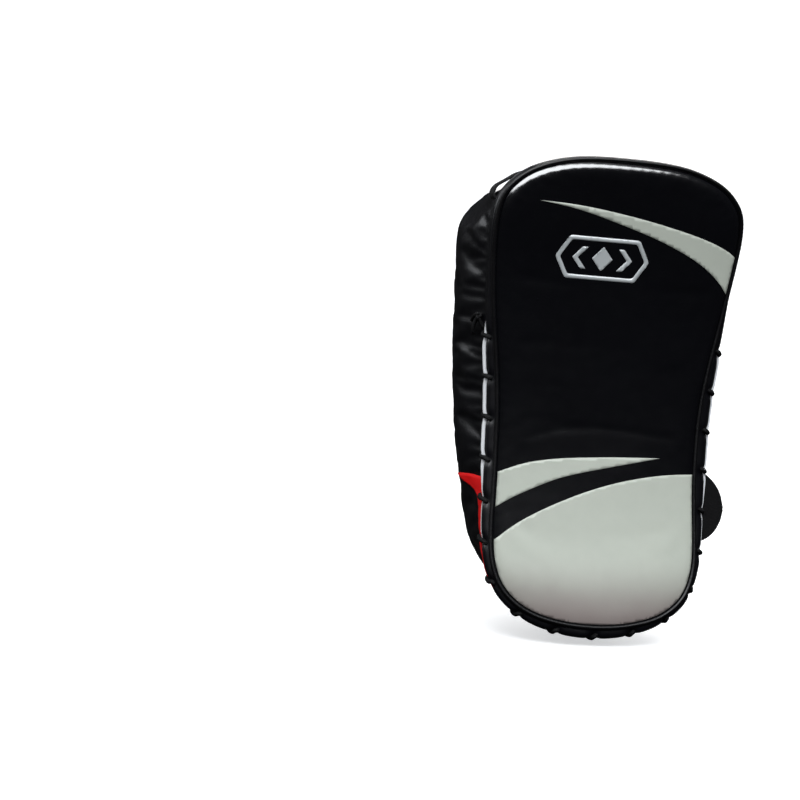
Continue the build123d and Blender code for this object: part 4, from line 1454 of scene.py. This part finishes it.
def patches():
    groups = {"strap_root_patch": [], "ring_anchor_patch": [], "grip_patch": []}
    rows = []
    # (group, temporary name, frame, u from, u to, half height)
    for group, name, base, u0, u1, half_height in (
            ("strap_root_patch", "rpu", UPPER, 49.2, 82.8, 41.3),
            ("ring_anchor_patch", "apu", UPPER, -83.8, -52.2, 41.3),
            ("strap_root_patch", "rpl", LOWER, 49.2, 82.8, 41.3),
            ("ring_anchor_patch", "apl", LOWER, -83.8, -52.2, 41.3),
            ("grip_patch", "gp0", GRIP, -85.8, -50.2, 22.8),
            ("grip_patch", "gp2", GRIP, 50.2, 85.8, 22.8)):
        obj, row = patch(name, base, u0, u1, half_height)
        groups[group].append(obj)
        rows.append(row)
    for name, objs in groups.items():
        stand_in(join(name, objs), "black_leather", name + "es")
    stitches("patch_stitches", rows)


patches()

# ---------------------------------------------------------------------------
# forearm straps; their paths are (u, v) in the strap's back frame
# ---------------------------------------------------------------------------
STRAP_HALF, STRAP_T, PILE_T = 37.5, 2.3, 1.15
BAND = [(57, 0.6), (60.5, 20), (59.5, 42), (48, 63), (24, 76.5), (-3, 80), (-29, 75),
        (-50, 61), (-61.5, 45), (-65.2, 33.5)]
BAND_FOOT = [(79.4, 1.6), (70, 1.65), (62.5, 2.3), (59.0, 7.0)]
ANCHOR = np.array([-62.0, 5.2])                     # where the webbing loop holds the ring
TILT = math.radians(100)
RING = ANCHOR + 19.0 * np.array([math.cos(TILT), math.sin(TILT)])   # where the tail turns
# the tail's fold, from its sewn end round the ring: (u, v) from RING
TAIL_FOLD = [(-2.4, 8.4), (0.7, 6.0), (3.1, 2.6), (3.5, -0.8), (1.5, -3.5), (-1.5, -3.5),
             (-3.6, -0.9), (-4.1, 2.8), (-4.6, 6.5)]
# the ring's webbing loop between its two flat ends: (u, v) from ANCHOR
ANCHOR_TURN = [(-0.6, -3.35), (2.5, -2.3), (3.35, 0), (2.4, 2.4), (0, 3.35), (-2.8, 1.9)]
# end of each tail past the band
UPPER_TIP = [(68.5, 44), (73, 31), (78, 19)]
LOWER_TIP = [(73, 40.5), (90, 28), (112, 20), (140, 15.5), (168, 13)]
ROUND_R, DROOP = 37.4, 9.0                          # round end and sag of the lower tail


def strap_piece(name, path, base, half, thickness, mat, slot, node, body="root", **shape):
    obj = ribbon(name, path, base, half, thickness, mat, wave=0.3, seed=51, **shape)
    stand_in(obj, slot, node, body=body)


def tail_edge_rows(base, tip):
    """Stitch rows along both edges and the round end of a long tail."""
    path = open_spline(tip, 90)
    normal = line_normals(path)
    along = arc_length(path)
    to_end = along[-1] - along
    arc = np.sqrt(np.maximum(ROUND_R ** 2 - (ROUND_R - to_end) ** 2, 0))
    half = np.minimum(np.where(to_end < ROUND_R, arc, ROUND_R) - 3.2, 34.3)
    keep = half > 1.5
    path, normal, half, to_end = path[keep], normal[keep], half[keep], to_end[keep]
    on_top = path + normal * 1.2
    outward = normal[:, 0, None] * base.u + normal[:, 1, None] * base.v
    return [(base.at(on_top[:, 0], on_top[:, 1], side * half - DROOP * ease(100, 0, to_end)),
             outward) for side in (-1, 1)]


def forearm_strap(name, base, tip, long_tail):
    flap = name + "_tail_flap"
    strap_piece(name + "_band", BAND_FOOT + BAND[1:], base, STRAP_HALF, STRAP_T, WEB,
                "webbing", name + "_strap_band")
    rows = sewn_box(base, 63.5, 77.5, 34, 2.95)
    rows += [sewn_row(base, (63.5, -34), (77.5, 34), 3.0),
             sewn_row(base, (63.5, 34), (77.5, -34), 3.0)]
    stitches(name + "_root_stitches", rows)
    strap_piece(name + "_loop_strip", shifted(BAND, 1.87)[5:22], base, STRAP_HALF - 3, PILE_T,
                LOOP, "hook_and_loop", name + "_loop_sheet")

    path = [tuple(RING + np.array(step)) for step in TAIL_FOLD]
    path += [tuple(p) for p in shifted(BAND, 5.18)[::-1] if p[1] > RING[1] + 14 and p[0] < 58.5]
    path += tip
    ends = {"round_end": ROUND_R, "droop": DROOP} if long_tail else {}
    strap_piece(name + "_tail", path, base, STRAP_HALF, STRAP_T, WEB, "webbing",
                name + "_strap_tail", body=flap, cols=30, **ends)
    # two rows that close the fold round the ring
    fold_u, fold_v = zip(*path[8:12])
    rows = []
    for v in (RING[1] + 9.5, RING[1] + 12.5):
        u = np.interp(v, fold_v, fold_u) - 1.25
        rows.append(sewn_row(base, (u, -34), (u, 34), v,
                             normal=-base.u * 0.97 + base.v * 0.2))
    if long_tail:
        rows += tail_edge_rows(base, tip)
    stitches(name + "_tail_stitches", rows, body=flap)

    path = [tuple(p) for p in shifted(BAND, 3.13)[::-1] if p[1] > RING[1] + 20 and p[0] < 46]
    strap_piece(name + "_hook_strip", path, base, STRAP_HALF - 4, PILE_T, HOOK,
                "hook_and_loop", name + "_hook_sheet", body=flap)

    path = ([(-80.6, 0.75), (-74, 0.75), (-67, 0.85)]
            + [tuple(ANCHOR + np.array(step)) for step in ANCHOR_TURN]
            + [(-67.2, 3.6), (-70.5, 2.2), (-75, 2.0), (-80.6, 2.0)])
    anchor = ribbon(name + "_anchor", path, base, 32.8, 1.15, WEB, step=0.9, cols=22)
    stand_in(anchor, "webbing", name + "_ring_anchor")
    stitches(name + "_anchor_stitches", sewn_box(base, -79.2, -71.8, 30, 2.7))


forearm_strap("upper", UPPER, UPPER_TIP, long_tail=False)
forearm_strap("lower", LOWER, LOWER_TIP, long_tail=True)

# ---------------------------------------------------------------------------
# hand grip
# ---------------------------------------------------------------------------
GRIP_V = 44.0                   # height of the roll's axis above the back
GRIP_SIDES = 96
GRIP_TURN = np.linspace(0, 2 * math.pi, GRIP_SIDES, endpoint=False)
SEAM_ANGLE = math.radians(-60)
# strap from the foot at +X over the roll to the foot at -X: (u, v)
ARCH_HALF = [(67.8, 3.3), (64.6, 4.6), (63.7, 9.5), (64.5, 22), (61.5, 35), (52, 43),
             (40, GRIP_V)]
# rolled end of the sleeve at -X: (u, radius)
SLEEVE_END = [(-39.2, 16.9), (-40.6, 16.95), (-41.6, 17.2), (-41.9, 17.7), (-41.5, 18.2),
              (-40.4, 18.45), (-38.8, 18.5)]
SLEEVE_R = 18.5
# closed section of the foam: (u, 0 on the outside to 1 on the slot's wall)
FOAM_PROFILE = [(-40.4, 0.0), (-40.9, 0.02), (-40.9, 0.3), (-40.9, 0.65), (-40.9, 0.97),
                (-40.4, 1.0), (-20, 1.0), (20, 1.0), (40.4, 1.0), (40.9, 0.97), (40.9, 0.65),
                (40.9, 0.3), (40.9, 0.02), (40.4, 0.0), (20, 0.0), (-20, 0.0)]


def grip_feet():
    us, height = (57.6, 65, 74, 82.4), 1.15
    paths = [[(-u, height) for u in reversed(us)], [(u, height) for u in us]]
    feet = [ribbon(name, path, GRIP, 15.8, 2.2, WEB, cols=18)
            for name, path in zip(("foot0", "foot2"), paths)]
    stand_in(join("grip_strap_feet", feet), "webbing", "grip_feet")
    stitches("grip_foot_stitches",
             [sewn_row(GRIP, (side * u, -13.5), (side * u, 13.5), 2.3, count=24)
              for side in (-1, 1) for u in (59.5, 68.0, 80.5)])


def grip_strap():
    arch = ARCH_HALF + [(0, GRIP_V)] + [(-u, v) for u, v in reversed(ARCH_HALF)]
    obj = ribbon("grip_web_strap", arch, GRIP, 13.8, 2.8, WEB, cols=18, wave=0.15)
    tuple(GRIP.at(0, 2.0, 0) * MM)
    tuple(GRIP.at(0, 10.0, 0) * MM)
    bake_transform(obj)
    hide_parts("grip_strap")


def grip_sleeve():
    """Leather sleeve with rolled ends, a lengthwise seam and soft wrinkles."""
    end_u, end_r = np.array(SLEEVE_END).T
    u = np.concatenate([end_u, np.linspace(-36, 36, 37), -end_u[::-1]])[:, None]
    radius = np.concatenate([end_r, np.full(37, SLEEVE_R), end_r[::-1]])[:, None]
    seam = np.exp(-((np.angle(np.exp(1j * (GRIP_TURN - SEAM_ANGLE)))) / 0.055) ** 2)
    wrinkles = 0.22 * np.sin(u / 4.3 + 3 * np.sin(GRIP_TURN)) * np.cos(GRIP_TURN * 2 + 0.6)
    waist = 0.5 * np.cos(u / 41 * math.pi / 2) ** 2
    radius = radius + ease(17.6, 18.4, radius) * (-0.9 * seam + wrinkles - waist)
    skin = GRIP.at(u, GRIP_V + radius * np.sin(GRIP_TURN), radius * np.cos(GRIP_TURN))
    obj = grid("grip_leather_sleeve", skin, GUSSET, close_cols=True)
    solidify(obj, 0.9)
    stand_in(obj, "black_leather", "grip_cover", body="grip_handle")
    outward = GRIP.v * math.sin(SEAM_ANGLE) + GRIP.w * math.cos(SEAM_ANGLE)
    count, thread_r = 50, 18.3
    rows = []
    for turn in (-0.16, 0.16):
        angle = SEAM_ANGLE + turn
        outward = GRIP.v * math.sin(angle) + GRIP.w * math.cos(angle)
        rows.append((GRIP.at(np.linspace(-38, 38, count), GRIP_V + thread_r * math.sin(angle),
                             thread_r * math.cos(angle)), np.tile(outward, (count, 1))))
    stitches("grip_seam_stitches", rows, body="grip_handle")


def grip_foam():
    """Round foam roll with a flat slot for the strap."""
    cos, sin = np.cos(GRIP_TURN), np.sin(GRIP_TURN)
    outside = np.stack([cos * 16.8, sin * 16.8], 1)
    slot = np.stack([np.sign(cos) * np.abs(cos) ** 0.35 * 14.4,
                     np.sign(sin) * np.abs(sin) ** 0.6 * 2.2], 1)
    rings = []
    for u, share in FOAM_PROFILE:
        section = outside * (1 - share) + slot * share
        rings.append(GRIP.at(u, GRIP_V + section[:, 1], section[:, 0]))
    obj = grid("grip_foam_roll", rings, FOAM, close_rows=True, close_cols=True)
    stand_in(obj, "foam", "grip_foam", body="grip_handle")


grip_feet()
grip_strap()
grip_sleeve()
grip_foam()


def back_stitches():
    """Stitches round the edge of the back panel."""
    outline = offset(body_outline(REAR_EDGE, 600), -6.6)
    row = on_bend(np.vstack([outline, outline[:1]]), 99.45)
    stitches("back_panel_stitches", [(row, np.tile([0, 1.0, 0], (len(row), 1)))])


back_stitches()

# ---------------------------------------------------------------------------
# finishes of the CAD pieces
# ---------------------------------------------------------------------------
SLOT_MATERIALS = {
    "black_leather": GUSSET, "black_piping": PIPING, "pale_leather": PALE, "pale_print": PRINT,
    "red_leather": RED, "pale_edging": EDGING, "lace_cord": CORD, "foam": FOAM, "webbing": WEB,
    "hook_and_loop": LOOP, "steel": CHROME}
NODE_SLOTS = {part["node"]: part["material_slot"] for part in frame["record"]["subparts"]}
for node_name, node_obj in frame["nodes"].items():
    finish = SLOT_MATERIALS[NODE_SLOTS[node_name]]
    if not node_obj.material_slots:
        node_obj.data.materials.append(finish)
    for material_slot in node_obj.material_slots:
        material_slot.material = finish


# ---------------------------------------------------------------------------
# floor, world, lights and camera
# ---------------------------------------------------------------------------
def floor_material():
    m = Material("pale_floor")
    tone = m.noise(m.coord(), 3, detail=3)
    color = m.mix(tone, (0.88, 0.885, 0.89, 1), (0.91, 0.91, 0.91, 1))
    return m.finish(color, 0.9, Specular_IOR_Level=0.1,
                    Emission_Color=(0.97, 0.985, 1.0, 1), Emission_Strength=0.55)


def floor():
    """Floor that curves up into a wall behind the shield."""
    base_z = CAD_LO.z / MM - 1.5
    curve_y, curve_r = 900, 600
    profile = [(-3200, 0)]
    profile += [(curve_r * math.sin(a) + curve_y, curve_r - curve_r * math.cos(a))
                for a in np.linspace(0, math.pi / 2, 24)]
    profile.append((curve_y + curve_r, 2600))
    points = [[(x, y, base_z + z) for y, z in profile] for x in np.linspace(-4000, 4000, 9)]
    obj = grid("floor", points, floor_material())
    obj.visible_glossy = False
    obj.visible_diffuse = False


def world(scene):
    """Soft sky that brightens upwards, dark in reflections and white to the camera."""
    scene.world = bpy.data.worlds.new("World")
    scene.world.use_nodes = True
    n = Nodes(scene.world.node_tree)
    height = n.xyz(n.texture["Generated"])[2]
    sky = n.span(height, 0.10, 0.85, start=-0.35, end=0.55)
    ray = n.node("ShaderNodeLightPath").outputs
    strength = n.mix_values(ray["Is Glossy Ray"], sky, 0.015)
    strength = n.mix_values(ray["Is Camera Ray"], strength, 1.0)
    background = n.tree.nodes["Background"].inputs
    n.feed(background["Color"], (0.985, 0.99, 1.0, 1))
    n.feed(background["Strength"], strength)


def aim(obj, rotation):
    obj.rotation_mode = "QUATERNION"
    obj.rotation_quaternion = rotation


def area(name, at, target, size, power, color, glossy=True, diffuse=True):
    """Rectangular light; places and sizes in metres, power in watts."""
    light = bpy.data.lights.new(name, "AREA")
    light.shape = "RECTANGLE"
    light.size, light.size_y = size
    light.energy = power
    light.color = color
    obj = bpy.data.objects.new(name, light)
    bpy.context.scene.collection.objects.link(obj)
    obj.location = at
    obj.visible_glossy, obj.visible_diffuse = glossy, diffuse
    aim(obj, (Vector(target) - Vector(at)).to_track_quat("-Z", "Y"))


def lights():
    """Broad soft lights for the colours; the sheen lights only show as reflections."""
    area("key", at=(-0.35, -1.9, 1.25), target=(0, -0.1, 0.0), size=(1.5, 0.9), power=30,
         color=(0.975, 0.985, 1.0), glossy=False)
    area("top", at=(0.1, -0.35, 1.7), target=(0, -0.1, 0.1), size=(1.5, 0.6), power=10,
         color=(0.96, 0.98, 1.0), glossy=False)
    area("rear", at=(0.9, 1.9, 1.3), target=(0, 0, 0), size=(1.6, 1.2), power=60,
         color=(1, 0.99, 0.98))
    area("sheen_top", at=(-0.50, -1.02, 1.36), target=(0, -0.12, 0.18), size=(2.8, 1.15),
         power=200, color=(0.95, 0.975, 1.0), diffuse=False)
    area("sheen_left", at=(-1.5, 0.55, 0.75), target=(-0.1, -0.05, 0.12), size=(0.5, 0.9),
         power=9, color=(0.93, 0.96, 1.0), diffuse=False)


def camera(scene):
    """Camera in front and to the left, rolled, with the shield right of the middle."""
    azimuth, elevation, roll = math.radians(-18.0), math.radians(1.5), math.radians(4.6)
    distance = 1.50             # metres
    sight = Vector((0.12048, 0.003, -1)).normalized()   # to the shield, in camera axes
    back = Vector((math.sin(azimuth) * math.cos(elevation),
                   -math.cos(azimuth) * math.cos(elevation), math.sin(elevation)))
    right = Vector((math.cos(azimuth), math.sin(azimuth), 0))
    up = back.cross(right)
    rolled_right = right * math.cos(roll) + up * math.sin(roll)
    rolled_up = up * math.cos(roll) - right * math.sin(roll)
    view = Matrix((rolled_right, rolled_up, back)).transposed()
    turn = sight.rotation_difference(Vector((0, 0, -1))).to_matrix()
    data = bpy.data.cameras.new("camera")
    data.lens = 75.0
    data.sensor_width = 36.0
    obj = bpy.data.objects.new("camera", data)
    scene.collection.objects.link(obj)
    obj.location = Vector((0, FACE_MID * MM, 0)) + back * distance
    aim(obj, (view @ turn).to_quaternion())
    scene.camera = obj


floor()
SCENE = bpy.context.scene
SCENE.view_settings.view_transform = "Standard"
world(SCENE)
lights()
camera(SCENE)
